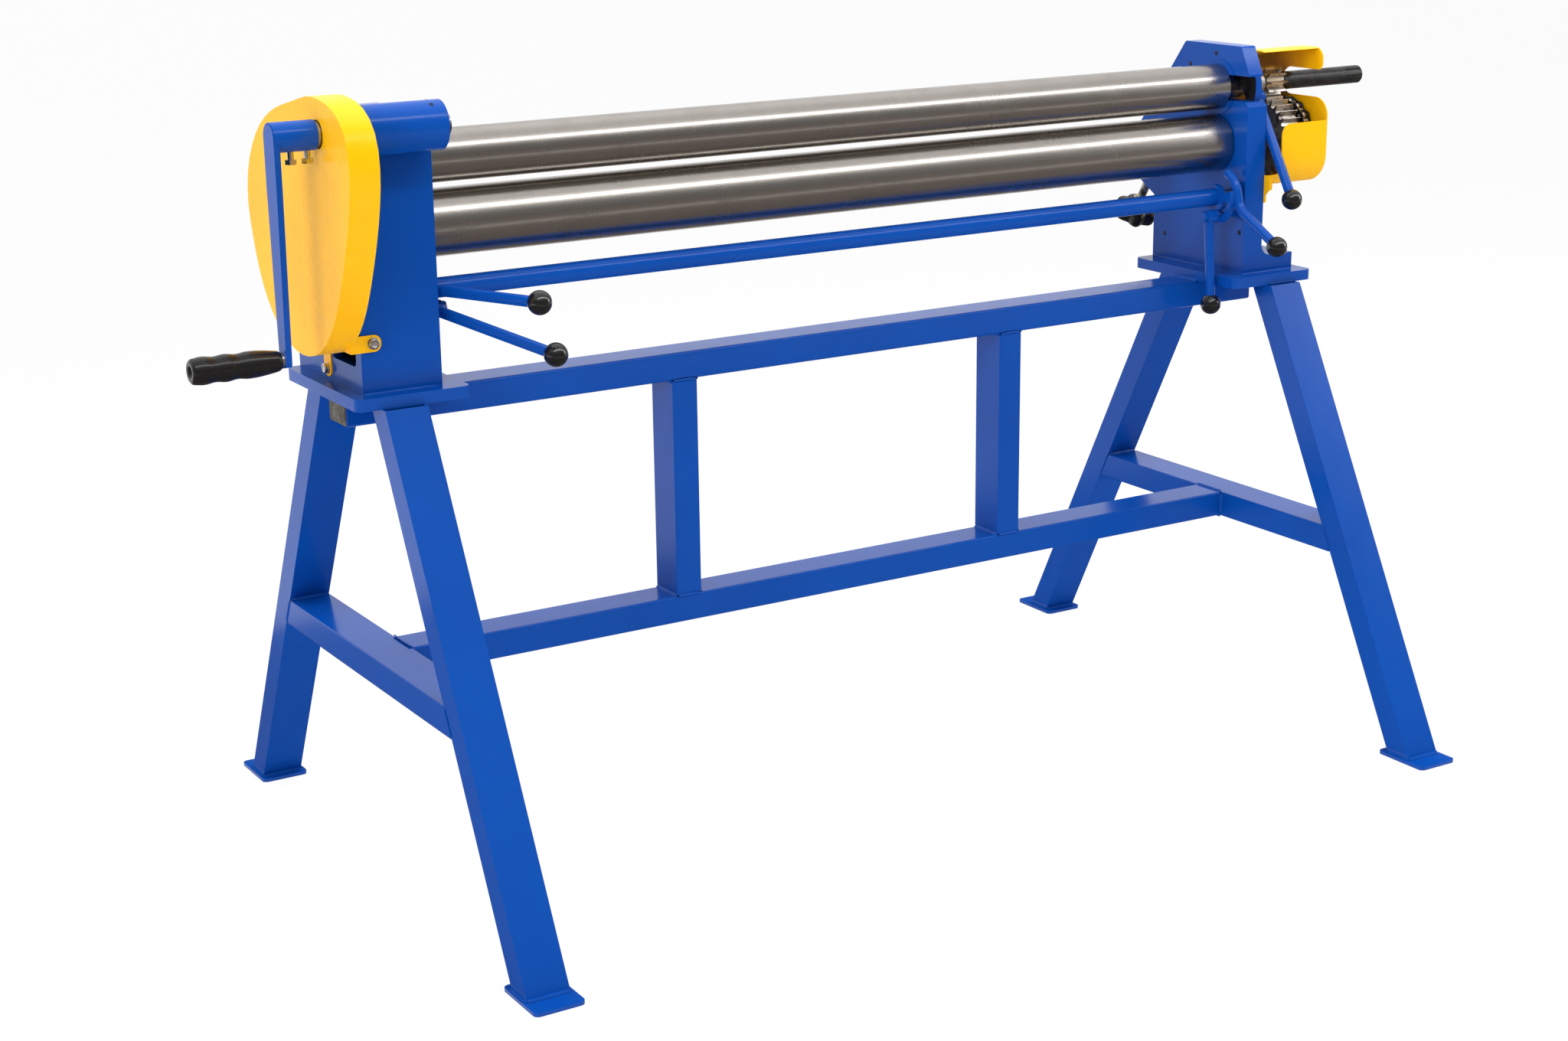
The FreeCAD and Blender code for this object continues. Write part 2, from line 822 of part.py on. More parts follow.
# ================================================================ crank and drive gears
def make_drive_gears():
    x0 = drive_gear_x - drive_face_width / 2.0
    x1 = drive_gear_x + drive_face_width / 2.0
    toward_crank = math.atan2(crank_z - lower_roll_z, crank_y - roll_y)
    offset = drive_mesh_offset / (drive_module * drive_teeth / 2.0)
    wire = gear_wire(
        x0, roll_y, lower_roll_z, drive_module, drive_teeth,
        drive_addendum, drive_dedendum, drive_thinning, toward_crank + offset, 1,
    )
    gear = disc_from(wire, x0, x1, roll_y, lower_roll_z, drive_shaft_radius + running_gap)
    rim_inner = drive_module * drive_teeth / 2.0 - 20.0
    hub_outer = drive_shaft_radius + 16.0
    recess = rod_x(x0 - 1, x0 + 7.0, roll_y, lower_roll_z, rim_inner).cut(
        rod_x(x0 - 1, x0 + 7.0, roll_y, lower_roll_z, hub_outer)
    )
    save("drive_gear", gear.cut(recess))

    wire = gear_wire(
        x0, crank_y, crank_z, drive_module, crank_teeth,
        drive_addendum, drive_dedendum, drive_thinning,
        toward_crank + math.pi + math.pi / crank_teeth, 2,
    )
    save("crank_pinion", disc_from(wire, x0, x1, crank_y, crank_z, crank_shaft_radius + running_gap))


def make_crank():
    hub_inner = arm_outer_x + arm_thickness + hub_length
    pinion_end = drive_gear_x - drive_face_width / 2.0
    shaft = [
        (arm_outer_x + 2.0, crank_shaft_radius),
        (hub_inner, crank_shaft_radius),
        (hub_inner, crank_shaft_radius + 4.0),
        (pinion_end, crank_shaft_radius + 4.0),
        (pinion_end, crank_shaft_radius),
        (housing_inner_end + clear_gap, crank_shaft_radius),
        (housing_inner_end + clear_gap, crank_shaft_radius + 2.0),
        (housing_inner_end + 10.5, crank_shaft_radius + 2.0),
    ]
    save("crank_shaft", turned(shaft, crank_y, crank_z))

    grip_z = crank_z - crank_throw
    top_half = arm_top_width / 2.0
    end_half = arm_end_width / 2.0
    outline = [
        (crank_y + end_half, grip_z - end_half + 2.0, 6.0),
        (crank_y + top_half, crank_z - 60.0, 0),
        (crank_y + top_half, crank_z + top_half, top_half - 1.0),
        (crank_y - top_half, crank_z + top_half, top_half - 1.0),
        (crank_y - top_half, crank_z - 60.0, 0),
        (crank_y - end_half, grip_z - end_half + 2.0, 6.0),
    ]
    bar = prism_yz(outline, arm_outer_x, arm_outer_x + arm_thickness)
    hub = rod_x(arm_outer_x + 1.0, hub_inner, crank_y, crank_z, hub_radius)
    grip_inner = arm_outer_x - grip_gap
    spindle = rod_x(grip_inner - grip_length + 8.0, arm_outer_x + 1.0, crank_y, grip_z, spindle_radius)
    shoulder = rod_x(grip_inner + clear_gap, arm_outer_x + 1.0, crank_y, grip_z, spindle_radius + 4.0)
    arm = join(bar, hub, spindle, shoulder)
    arm = arm.cut(rod_x(arm_outer_x + 2.0, hub_inner + 1, crank_y, crank_z, crank_shaft_radius + running_gap))
    screws = []
    for index in range(2):
        x = arm_outer_x + set_screw_offset + index * set_screw_spacing
        low = crank_z - hub_radius - 9.0
        shank = Part.makeCylinder(set_screw_radius, crank_z - crank_shaft_radius - 2.0 - low, Vector(x, crank_y, low))
        corner = hex_across_flats / math.sqrt(3.0)
        loop = []
        for turn in range(7):
            angle = math.radians(60.0 * turn)
            loop.append(Vector(x + corner * math.cos(angle), crank_y + corner * math.sin(angle), low))
        head = Part.Face(Part.makePolygon(loop)).extrude(Vector(0, 0, -hex_thickness))
        screws += [shank, head]
    save("crank_arm", join(arm, *screws))

    outer = grip_inner - grip_length
    samples = 6
    points = []
    for index in range(samples + 1):
        share = index / samples
        swell = 14.2 + 2.6 * share
        ripple = 1.1 if index % 2 == 0 else -1.1
        x = grip_inner - 3.0 - (grip_length - 9.0) * share
        points.append(Vector(x, crank_y, grip_z + swell + ripple))
    bore = spindle_radius + running_gap
    floor = outer + 8.0 - clear_gap
    inner_start = Vector(grip_inner, crank_y, grip_z + bore)
    inner_rim = Vector(grip_inner, crank_y, points[0].z - 1.5)
    outer_rim = Vector(outer, crank_y, points[-1].z - 4.0)
    mouth = Vector(outer, crank_y, grip_z + 9.0)
    seat = Vector(floor, crank_y, grip_z + 9.0)
    seat_bore = Vector(floor, crank_y, grip_z + bore)
    loop = [inner_start, inner_rim] + points + [outer_rim, mouth, seat, seat_bore, inner_start]
    face = Part.Face(Part.makePolygon(loop))
    grip = face.revolve(Vector(0, crank_y, grip_z), Vector(1, 0, 0), 360)
    save("crank_grip", grip)

    tube = rod_x(housing_outer_end, housing_inner_end, crank_y, crank_z, housing_radius)
    bore_cut = rod_x(
        housing_outer_end - 1, housing_inner_end + 1, crank_y, crank_z, crank_shaft_radius + running_gap
    )
    oil = Part.makeCylinder(2.5, 12.0, Vector(housing_inner_end - 17.0, crank_y, crank_z + 25.0))
    save("bearing_housing", tube.cut([bore_cut, oil]))


# ================================================================ left guard
def left_guard_curve(x, shrink):
    """Closed egg outline about the drive gear, reaching forward and up round the crank pinion."""
    tip = drive_module * drive_teeth / 2.0 + drive_addendum
    points = []
    for angle, margin in left_guard_margins:
        turn = math.radians(angle)
        radius = tip + margin
        points.append(Vector(x, roll_y + radius * math.cos(turn), lower_roll_z + radius * math.sin(turn)))
    curve = Part.BSplineCurve()
    curve.interpolate(points, True)
    loop = []
    for index in range(left_guard_sides):
        at = curve.FirstParameter + (curve.LastParameter - curve.FirstParameter) * index / left_guard_sides
        inward = Vector(1, 0, 0).cross(curve.tangent(at)[0])
        loop.append(curve.value(at) + inward * shrink)
    return Part.makePolygon(loop + loop[:1])


def make_left_guard():
    back_x = guard_face_x + guard_depth
    outside = Part.Face(left_guard_curve(guard_face_x, 0.0)).extrude(Vector(guard_depth, 0, 0))
    inside = Part.Face(left_guard_curve(guard_face_x + sheet, sheet)).extrude(Vector(guard_depth, 0, 0))
    shell = outside.cut(inside)
    hole = rod_x(guard_face_x - 1, guard_face_x + 5, crank_y, crank_z, crank_shaft_radius + 6.0)
    shell = shell.cut(hole)
    tab_z = lower_roll_z - guard_tab_drop
    tab_low = tab_z - guard_tab_radius
    tab_high = tab_z + guard_tab_radius
    tab_end = guard_tab_reach - column_outer
    round_off = guard_tab_radius - 1.0
    front_tab = prism_xz(
        [
            (back_x - sheet, tab_low),
            (tab_end, tab_low, round_off),
            (tab_end, tab_high, round_off),
            (back_x - sheet, tab_high),
        ],
        frame_front - sheet,
        frame_front,
    )
    link_end = roll_y - guard_link_forward
    front_link = block(back_x - 2 * sheet, back_x, frame_front - sheet, link_end, tab_low + 1.0, tab_high - 1.0)
    side_y = window_rear + side_tab_behind
    y0 = side_y - side_tab_half
    y1 = side_y + side_tab_half
    side_screw_z = frame_base + side_screw_rise
    side_low = side_screw_z - guard_tab_radius
    side_top = lower_roll_z - side_tab_drop
    side_tab = prism_yz(
        [(y0, side_low, round_off), (y1, side_low, round_off), (y1, side_top), (y0, side_top)],
        -column_outer - sheet,
        -column_outer,
    )
    side_link = block(back_x - sheet, -column_outer, y0, y1, side_top - sheet, side_top)
    side_riser = block(back_x - sheet, back_x, y0, y1, side_top - sheet, side_top + side_riser_height)
    front_head = Part.makeCylinder(
        guard_screw_radius,
        guard_screw_height,
        Vector(tab_end - guard_tab_radius, frame_front - sheet, tab_z),
        Vector(0, -1, 0),
    )
    side_head = rod_x(
        -column_outer - sheet - guard_screw_height,
        -column_outer - sheet,
        side_y,
        side_screw_z,
        guard_screw_radius,
    )
    heads = [front_head, side_head]
    save("left_guard", join(shell, front_tab, front_link, side_tab, side_link, side_riser, *heads))


# ================================================================ right gears, sprockets, chain
def make_right_gears():
    x0 = pair_inner_x
    x1 = pinion_outer
    down = -math.pi / 2.0
    wire = gear_wire(
        x0, roll_y, upper_roll_z, pair_module, pair_pinion_teeth,
        pair_addendum, pair_dedendum, pair_thinning, down + math.pi / pair_pinion_teeth, 2,
    )
    bore = pinion_stub_radius + running_gap
    save("right_pinion", disc_from(wire, x0, x1, roll_y, upper_roll_z, bore))
    wire = gear_wire(
        x0, roll_y, lower_roll_z, pair_module, pair_gear_teeth,
        pair_addendum, pair_dedendum, pair_thinning, -down, 1,
    )
    save("right_gear", disc_from(wire, x0, x1, roll_y, lower_roll_z, drive_shaft_radius + running_gap))


def sprocket_wire(x, y, z, phase):
    """Faceted roller seats on the pitch circle, with short flat-topped teeth between them."""
    pitch_radius = chain_pitch / 2.0 / math.sin(math.pi / sprocket_teeth)
    seat = (roller_radius + 0.4) / math.cos(math.radians(20.0))
    tip = pitch_radius + roller_radius * 0.75
    step = 2 * math.pi / sprocket_teeth
    tip_half = step * 0.09
    points = []
    for index in range(sprocket_teeth):
        angle = phase + index * step
        centre = Vector(x, y + pitch_radius * math.cos(angle), z + pitch_radius * math.sin(angle))
        before = angle - step / 2.0 + tip_half
        points.append(Vector(x, y + tip * math.cos(before), z + tip * math.sin(before)))
        for offset in (60.0, 20.0, -20.0, -60.0):
            turn = angle + math.pi + math.radians(offset)
            points.append(centre + Vector(0, seat * math.cos(turn), seat * math.sin(turn)))
        after = angle + step / 2.0 - tip_half
        points.append(Vector(x, y + tip * math.cos(after), z + tip * math.sin(after)))
    return Part.makePolygon(points + points[:1])


def make_sprockets():
    half = sprocket_width / 2.0
    seat_phase = chain_slope + math.pi / 2.0
    bore = sprocket_shaft_radius + running_gap
    places = (
        ("sprocket_lower", roll_y, lower_roll_z, pinion_outer),
        ("sprocket_rear", rear_roll_y, rear_roll_z, pinion_outer),
    )
    for name, y, z, hub_start in places:
        wire = sprocket_wire(chain_x - half, y, z, seat_phase)
        disc = disc_from(wire, chain_x - half, chain_x + half, y, z, bore)
        hub = rod_x(hub_start, chain_x, y, z, sprocket_shaft_radius + sprocket_hub_wall)
        hub = hub.cut(rod_x(hub_start - 1, chain_x + 1, y, z, bore))
        save(name, join(disc, hub))


def chain_joints():
    """Centres of all the chain's rollers, in order round the two equal sprockets."""
    pitch_radius = chain_pitch / 2.0 / math.sin(math.pi / sprocket_teeth)
    step = 2 * math.pi / sprocket_teeth
    up = chain_slope + math.pi / 2.0
    joints = []
    for index in range(sprocket_teeth // 2 + 1):
        angle = up + index * step
        joints.append((roll_y + pitch_radius * math.cos(angle), lower_roll_z + pitch_radius * math.sin(angle)))
    for index in range(1, chain_run_links):
        along = index * chain_pitch
        start_y = roll_y - pitch_radius * math.cos(up)
        start_z = lower_roll_z - pitch_radius * math.sin(up)
        joints.append((start_y + along * math.cos(chain_slope), start_z + along * math.sin(chain_slope)))
    for index in range(sprocket_teeth // 2 + 1):
        angle = up + math.pi + index * step
        joints.append((rear_roll_y + pitch_radius * math.cos(angle), rear_roll_z + pitch_radius * math.sin(angle)))
    for index in range(1, chain_run_links):
        along = (chain_run_links - index) * chain_pitch
        start_y = roll_y + pitch_radius * math.cos(up)
        start_z = lower_roll_z + pitch_radius * math.sin(up)
        joints.append((start_y + along * math.cos(chain_slope), start_z + along * math.sin(chain_slope)))
    return joints


def link_plate(start, end, x0, x1):
    """Side plate with faceted round ends and a slight waist."""
    length = math.hypot(end[0] - start[0], end[1] - start[1])
    cosine = (end[0] - start[0]) / length
    sine = (end[1] - start[1]) / length
    high = link_half_height
    nose = high * 0.8
    local = [(-nose, 0.0), (0.0, -high), (length, -high), (length + nose, 0.0), (length, high), (0.0, high)]
    loop = []
    for along, across in local + local[:1]:
        y = start[0] + along * cosine - across * sine
        z = start[1] + along * sine + across * cosine
        loop.append(Vector(x0, y, z))
    return Part.Face(Part.makePolygon(loop)).extrude(Vector(x1 - x0, 0, 0))


def faceted_roller(y, z, x0, x1):
    loop = []
    for index in range(7):
        angle = math.radians(60.0 * index) + chain_slope
        loop.append(Vector(x0, y + roller_radius * math.cos(angle), z + roller_radius * math.sin(angle)))
    return Part.Face(Part.makePolygon(loop)).extrude(Vector(x1 - x0, 0, 0))


def make_chain():
    joints = chain_joints()
    inner = sprocket_width / 2.0 + 0.4
    middle = inner + plate_thickness
    outer = middle + plate_thickness
    links = []
    for index in range(len(joints)):
        start = joints[index]
        end = joints[(index + 1) % len(joints)]
        if index % 2:
            links.append(link_plate(start, end, chain_x + middle, chain_x + outer))
            links.append(link_plate(start, end, chain_x - outer, chain_x - middle))
        else:
            plates = [
                link_plate(start, end, chain_x + inner, chain_x + middle),
                link_plate(start, end, chain_x - middle, chain_x - inner),
            ]
            rollers = []
            for y, z in (start, end):
                rollers.append(faceted_roller(y, z, chain_x - inner, chain_x + inner))
            links.append(join(plates[0], plates[1], *rollers))
    save("drive_chain", Part.makeCompound(links))


def make_pull_bar():
    start = pinion_outer + clear_gap
    bar = turned(
        [
            (start, pull_bar_radius - 1.0),
            (start + 1.0, pull_bar_radius),
            (pull_bar_end - 4.0, pull_bar_radius),
            (pull_bar_end, pull_bar_radius - 4.0),
        ],
        roll_y,
        upper_roll_z,
    )
    bore = rod_x(start - 1, stub_end + clear_gap, roll_y, upper_roll_z, pinion_stub_radius + running_gap)
    bar = bar.cut(bore)
    grooves = []
    for index in range(8):
        groove = prism_yz(
            [
                (roll_y + pull_bar_radius - 1.4, upper_roll_z),
                (roll_y + pull_bar_radius + 1.0, upper_roll_z - 2.4),
                (roll_y + pull_bar_radius + 1.0, upper_roll_z + 2.4),
            ],
            pull_bar_end - 38.0,
            pull_bar_end + 1.0,
        )
        groove.rotate(Vector(0, roll_y, upper_roll_z), Vector(1, 0, 0), index * 45.0)
        grooves.append(groove)
    save("pull_bar", bar.cut(grooves))


# ================================================================ levers
def ball_knob(centre, toward, radius):
    """Ball with a flat that its lever's end bears on; toward points from the ball to the lever."""
    ball = Part.makeSphere(radius, Vector(0, 0, 0), Vector(0, 0, 1), -90, math.degrees(math.asin(ball_flat / radius)))
    ball.Placement = FreeCAD.Placement(centre, FreeCAD.Rotation(Vector(0, 0, 1), Vector(toward)))
    return ball


def rod_section(point, direction):
    return Part.Face(Part.Wire([Part.makeCircle(lever_radius, point, direction)]))


def lever_end(start, centre):
    """Where a lever coming from start meets the flat of the ball at centre."""
    return centre + (start - centre).normalize() * ball_flat


def hexagon(x0, x1, y, z, radius):
    loop = []
    for index in range(7):
        angle = math.radians(60.0 * index)
        loop.append(Vector(x0, y + radius * math.cos(angle), z + radius * math.sin(angle)))
    return Part.Face(Part.makePolygon(loop)).extrude(Vector(x1 - x0, 0, 0))


def make_roll_lock():
    inner_x = frame_outer
    outer_x = frame_outer + lock_ring_thickness
    ring = rod_x(inner_x, outer_x, roll_y, upper_roll_z, lock_ring_radius)
    hole = upper_journal_radius + 0.35
    ring = ring.cut(rod_x(inner_x - 1, outer_x + 1, roll_y, upper_roll_z, hole))
    half = hole + lock_gap_clearance
    gap = block(
        inner_x - 1,
        outer_x + 1,
        roll_y - lock_ring_radius - 5,
        roll_y - 2.0,
        upper_roll_z - half,
        upper_roll_z + half,
    )
    gap.rotate(Vector(0, roll_y, upper_roll_z), Vector(1, 0, 0), lock_swing)
    ring = ring.cut(gap)
    lever_x = outer_x + lever_radius
    root = Vector(lever_x, roll_y - lock_root_forward, upper_roll_z - lock_root_drop)
    boss = rod_x(outer_x - 1, outer_x + 2 * lever_radius, root.y, root.z, lock_boss_radius)
    centre = Vector(lever_x, roll_y - lock_knob_forward, upper_roll_z - lock_knob_drop)
    rod = rod_between(root, lever_end(root, centre), lever_radius)
    save("roll_lock", join(join(ring, boss), rod))
    save("roll_lock_knob", ball_knob(centre, root - centre, ball_radius))


def sector(x0, x1, facing, slot_turn):
    """Hub disc with a slotted quadrant below it; facing is 1 for the front, -1 for the rear."""
    slot_first, slot_last = [math.radians(turn) for turn in slot_turn]
    margin = math.radians(sector_margin_turn)
    middle = (slot_first + slot_last) / 2.0
    outer = sector_slot_radius + sector_slot_width / 2.0
    inner = sector_slot_radius - sector_slot_width / 2.0
    end_turn = sector_slot_width / 2.0 / sector_slot_radius

    def point(radius, angle):
        return Vector(
            x0, torque_y + facing * radius * math.cos(angle), torque_z + radius * math.sin(angle)
        )

    def arc(first, through, last):
        return Part.Arc(first, through, last).toShape()

    first = slot_first - margin - end_turn - math.radians(sector_root_turn)
    last = slot_last + margin + end_turn
    centre = Vector(x0, torque_y, torque_z)
    rim = arc(point(sector_radius, first), point(sector_radius, middle), point(sector_radius, last))
    sides = [
        Part.LineSegment(centre, point(sector_radius, first)).toShape(),
        rim,
        Part.LineSegment(point(sector_radius, last), centre).toShape(),
    ]
    slot = [
        arc(point(outer, slot_first), point(outer, middle), point(outer, slot_last)),
        arc(
            point(outer, slot_last),
            point(sector_slot_radius, slot_last + end_turn),
            point(inner, slot_last),
        ),
        arc(point(inner, slot_last), point(inner, middle), point(inner, slot_first)),
        arc(
            point(inner, slot_first),
            point(sector_slot_radius, slot_first - end_turn),
            point(outer, slot_first),
        ),
    ]
    run = Vector(x1 - x0, 0, 0)
    quadrant = Part.Face(Part.Wire(sides)).extrude(run)
    hub = rod_x(x0, x1, torque_y, torque_z, sector_hub_radius)
    return join(quadrant, hub).cut(Part.Face(Part.Wire(slot)).extrude(run))


def make_torque_tube():
    save("torque_tube", rod_x(torque_tube_left, torque_tube_right, torque_y, torque_z, torque_tube_radius))

    plate = sector(torque_tube_right, torque_tube_right + sector_thickness, 1, sector_slot_turn)
    hook_x = torque_tube_right + sector_thickness + lever_radius - 1.0
    centre = Vector(hook_x, torque_y - right_lever_forward, torque_z - right_lever_drop)
    bend_end = math.radians(165.0)
    start = math.radians(112.0)

    def on_hook(angle):
        return Vector(
            hook_x,
            torque_y + hook_bend_radius * math.cos(angle),
            torque_z + hook_bend_radius * math.sin(angle),
        )

    turn_back = on_hook(bend_end) + Vector(0, -math.sin(bend_end), math.cos(bend_end)) * hook_ease_reach
    first_leg = (on_hook(bend_end) - turn_back).normalize()
    second_leg = (centre - turn_back).normalize()
    half = first_leg.getAngle(second_leg) / 2.0
    ease = hook_ease_radius / math.tan(half)
    ease_start = turn_back + first_leg * ease
    ease_end = turn_back + second_leg * ease
    inward = (first_leg + second_leg).normalize()
    ease_middle = turn_back + inward * (hook_ease_radius / math.sin(half) - hook_ease_radius)
    end = lever_end(ease_end, centre)
    bend = rod_section(on_hook(start), Vector(0, -math.sin(start), math.cos(start)))
    bend = bend.revolve(Vector(hook_x, torque_y, torque_z), Vector(1, 0, 0), math.degrees(bend_end - start))
    ease_centre = turn_back + inward * (hook_ease_radius / math.sin(half))
    ease_turn = 180.0 - math.degrees(2.0 * half)
    easing = rod_section(ease_start, first_leg)
    easing = easing.revolve(ease_centre, second_leg.cross(first_leg), ease_turn)
    runs = [rod_between(on_hook(bend_end), ease_start, lever_radius), rod_between(ease_end, end, lever_radius)]
    hook = join(bend, easing, *runs)
    save("torque_lever_right", join(plate, hook))
    save("torque_knob_right", ball_knob(centre, ease_end - centre, ball_radius))

    plate = sector(torque_tube_left - sector_thickness, torque_tube_left, -1, left_slot_turn)
    root = Vector(torque_tube_left + 3.5, torque_y - sector_hub_radius + 3.0, torque_z)
    centre = Vector(
        torque_tube_left + left_lever_inward, torque_y - left_lever_forward, torque_z + left_lever_rise
    )
    rod = rod_between(root, lever_end(root, centre), lever_radius)
    save("torque_lever_left", join(plate, rod))
    save("torque_knob_left", ball_knob(centre, root - centre, ball_radius))

    ends = (("right", 1, torque_tube_right), ("left", -1, -torque_tube_left))
    for name, side, start_x in ends:
        stub = rod_x(start_x + sector_thickness, frame_outer + cap_thickness, torque_y, torque_z, torque_stub_radius)
        x0 = pocket_inner + clear_gap
        x1 = frame_outer - clear_gap
        hub = rod_x(x0, x1, torque_y, torque_z, cam_hub_radius)
        nose = rod_x(x0, x1, torque_y + cam_throw, torque_z, cam_nose_radius)
        cam = join(stub, hub, nose)
        save("eccentric_" + name, cam if side > 0 else mirrored(cam))


def clamp_bolt(name, wall_x, hub_x, side, y):
    """Stud from the frame's inner face through the slotted quadrant, with a nut beyond the hub."""
    nut_x = hub_x - side * clear_gap
    nut_end = nut_x - side * clamp_nut_thickness
    x0, x1 = sorted((wall_x, nut_end))
    z = torque_z - clamp_stud_drop
    stud = rod_x(x0, x1, y, z, clamp_stud_radius)
    x0, x1 = sorted((nut_x, nut_end))
    save("clamp_stud_" + name, join(stud, hexagon(x0, x1, y, z, clamp_nut_radius)))


def make_clamps():
    stud_z = torque_z - clamp_stud_drop
    stud_y = torque_y - clamp_stud_forward
    hub_start = torque_tube_right - clamp_hub_length
    clamp_bolt("right", frame_inner, hub_start, 1, stud_y)
    hub_end = torque_tube_right - clear_gap
    hub = rod_x(hub_start, hub_end, stud_y, stud_z, clamp_hub_radius)
    bore = rod_x(hub_start - 1, hub_end + 1, stud_y, stud_z, clamp_stud_radius + running_gap)
    centre = Vector(right_clamp_x, stud_y - right_clamp_forward, stud_z - right_clamp_drop)
    root = Vector(right_clamp_x, stud_y, stud_z - clamp_hub_radius + 3.0)
    rod = rod_between(root, lever_end(root, centre), lever_radius)
    save("clamp_lever_right", join(hub, rod).cut(bore))
    save("clamp_knob_right", ball_knob(centre, root - centre, ball_radius))

    stud_y = torque_y + clamp_stud_forward
    hub_start = torque_tube_left + clear_gap
    hub_end = torque_tube_left + left_clamp_hub_length
    clamp_bolt("left", -frame_inner, hub_end, -1, stud_y)
    hub = rod_x(hub_start, hub_end, stud_y, stud_z, clamp_hub_radius)
    bore = rod_x(hub_start - 1, hub_end + 1, stud_y, stud_z, clamp_stud_radius + running_gap)
    centre = Vector(
        torque_tube_left + left_clamp_inward, stud_y - left_clamp_forward, stud_z - left_clamp_drop
    )
    root = Vector(hub_start + lever_radius, stud_y - clamp_hub_radius + 3.0, stud_z - 2.0)
    rod = rod_between(root, lever_end(root, centre), lever_radius)
    save("clamp_lever_left", join(hub, rod).cut(bore))
    save("clamp_knob_left", ball_knob(centre, root - centre, ball_radius))


# ================================================================ rear adjustment
def make_star_knobs():
    low = -knob_distance - knob_thickness / 2.0
    valley = knob_radius - 8.0
    loop = []
    samples = knob_lobes * 5
    for index in range(samples + 1):
        angle = 2 * math.pi * index / samples
        swell = (knob_radius + valley) / 2.0 + (knob_radius - valley) / 2.0 * math.cos(knob_lobes * angle)
        loop.append(Vector(pocket_middle + swell * math.cos(angle), swell * math.sin(angle), low))
    face = Part.Face(Part.makePolygon(loop))
    knob = face.extrude(Vector(0, 0, knob_thickness * 0.72))
    neck = Part.makeCone(
        valley - 6.0, valley - 16.0, knob_thickness * 0.28, Vector(pocket_middle, 0, low + knob_thickness * 0.72)
    )
    bore = Part.makeCylinder(
        screw_radius + running_gap, knob_thickness, Vector(pocket_middle, 0, low + 8.0)
    )
    knob = along_screw(join(knob, neck).cut(bore))
    save("star_knob_right", knob)
    save("star_knob_left", mirrored(knob))
    top = -rear_block_length / 2.0
    bottom = low + 8.0 + clear_gap
    screw = Part.makeCylinder(screw_radius, top - bottom, Vector(pocket_middle, 0, bottom))
    knob_top = low + knob_thickness
    loop = []
    for index in range(7):
        angle = math.radians(60.0 * index)
        loop.append(Vector(pocket_middle + knob_nut_radius * math.cos(angle), knob_nut_radius * math.sin(angle), knob_top + clear_gap))
    nut = Part.Face(Part.makePolygon(loop)).extrude(Vector(0, 0, knob_nut_thickness))
    screw = along_screw(join(screw, nut))
    save("adjust_screw_right", screw)
    save("adjust_screw_left", mirrored(screw))


# ================================================================ right guard
def right_guard_outline():
    """End plate seen from outside, with the open slot that the pull bar passes through."""
    half = upper_journal_radius + 1.0
    low = upper_roll_z - half - 1.0
    high = upper_roll_z + half
    gear_reach = pair_module * pair_gear_teeth / 2.0 + pair_addendum
    chain_reach = chain_pitch / 2.0 / math.sin(math.pi / sprocket_teeth) + link_half_height
    floor = rear_roll_z - chain_reach - right_guard_margin
    rear = rear_roll_y + chain_reach + 2 * right_guard_margin
    under_gear = lower_roll_z - gear_reach - 3 * right_guard_margin
    return [
        (right_guard_front, under_gear + 24.0, 45.0),
        (roll_y + 40.0, under_gear, 60.0),
        (rear_roll_y, floor, 60.0),
        (rear, floor, 40.0),
        (rear, right_guard_back_top, 30.0),
        (right_guard_crest, right_guard_top, 20.0),
        (right_guard_upper_front, right_guard_top, 18.0),
        (right_guard_upper_front, high, 10.0),
        (roll_y + half, high, half),
        (roll_y + half, low, half),
        (right_guard_front, low, 28.0),
    ]


def make_right_guard():
    outline = right_guard_outline()
    inner = inset(outline, sheet)
    x0 = frame_outer + lock_ring_thickness + 1.1
    end = right_guard_x
    shell = prism_yz(outline, x0, end).cut(prism_yz(inner, x0 - 1, end - sheet))
    front = right_guard_front
    tab_x = frame_inner + flange_width
    tab_top = lower_roll_z - right_tab_drop
    tab_low = tab_top - right_tab_height
    front_wall = right_guard_upper_front + 17.0
    slot_rear = roll_y + 2 * upper_journal_radius
    slot_top = upper_roll_z + upper_journal_radius + 3 * sheet
    cuts = [
        block(x0 - 1, end - sheet, front - 1, front_wall, right_panel_top, right_guard_top - sheet),
        block(x0 - 1, end - sheet, front - 1, slot_rear, right_panel_top, slot_top),
    ]
    corner = right_panel_left + right_panel_corner
    left_edge = prism_xz(
        [
            (x0 - 1, tab_top),
            (right_panel_left, tab_top),
            (right_panel_left, right_panel_top, right_panel_corner),
            (corner, right_panel_top),
            (corner, right_panel_top + 50.0),
            (x0 - 1, right_panel_top + 50.0),
        ],
        front - 1,
        front + 20.0,
    )
    cuts.append(left_edge)
    shell = shell.cut(cuts)
    tab_front = frame_front - 4.0
    tab = prism_yz(
        [
            (tab_front, tab_low, 3.0),
            (frame_front + 8.0, tab_low, 3.0),
            (frame_front + 8.0, tab_top),
            (front, tab_top),
            (front, tab_top - 22.0, 4.0),
            (tab_front, tab_top - 30.0, 4.0),
        ],
        tab_x,
        tab_x + sheet,
    )
    link = block(tab_x, x0 + 4.0, front, front + sheet, tab_top - 22.0, tab_top)
    save("right_guard", join(shell, tab, link))


def main():
    os.makedirs("parts", exist_ok=True)
    make_stand()
    make_right_frame()
    make_left_frame()
    make_torque_caps()
    make_rolls()
    make_blocks()
    make_drive_gears()
    make_crank()
    make_left_guard()
    make_right_gears()
    make_sprockets()
    make_chain()
    make_pull_bar()
    make_roll_lock()
    make_torque_tube()
    make_clamps()
    make_star_knobs()
    make_right_guard()


main()
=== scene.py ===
import math
import random

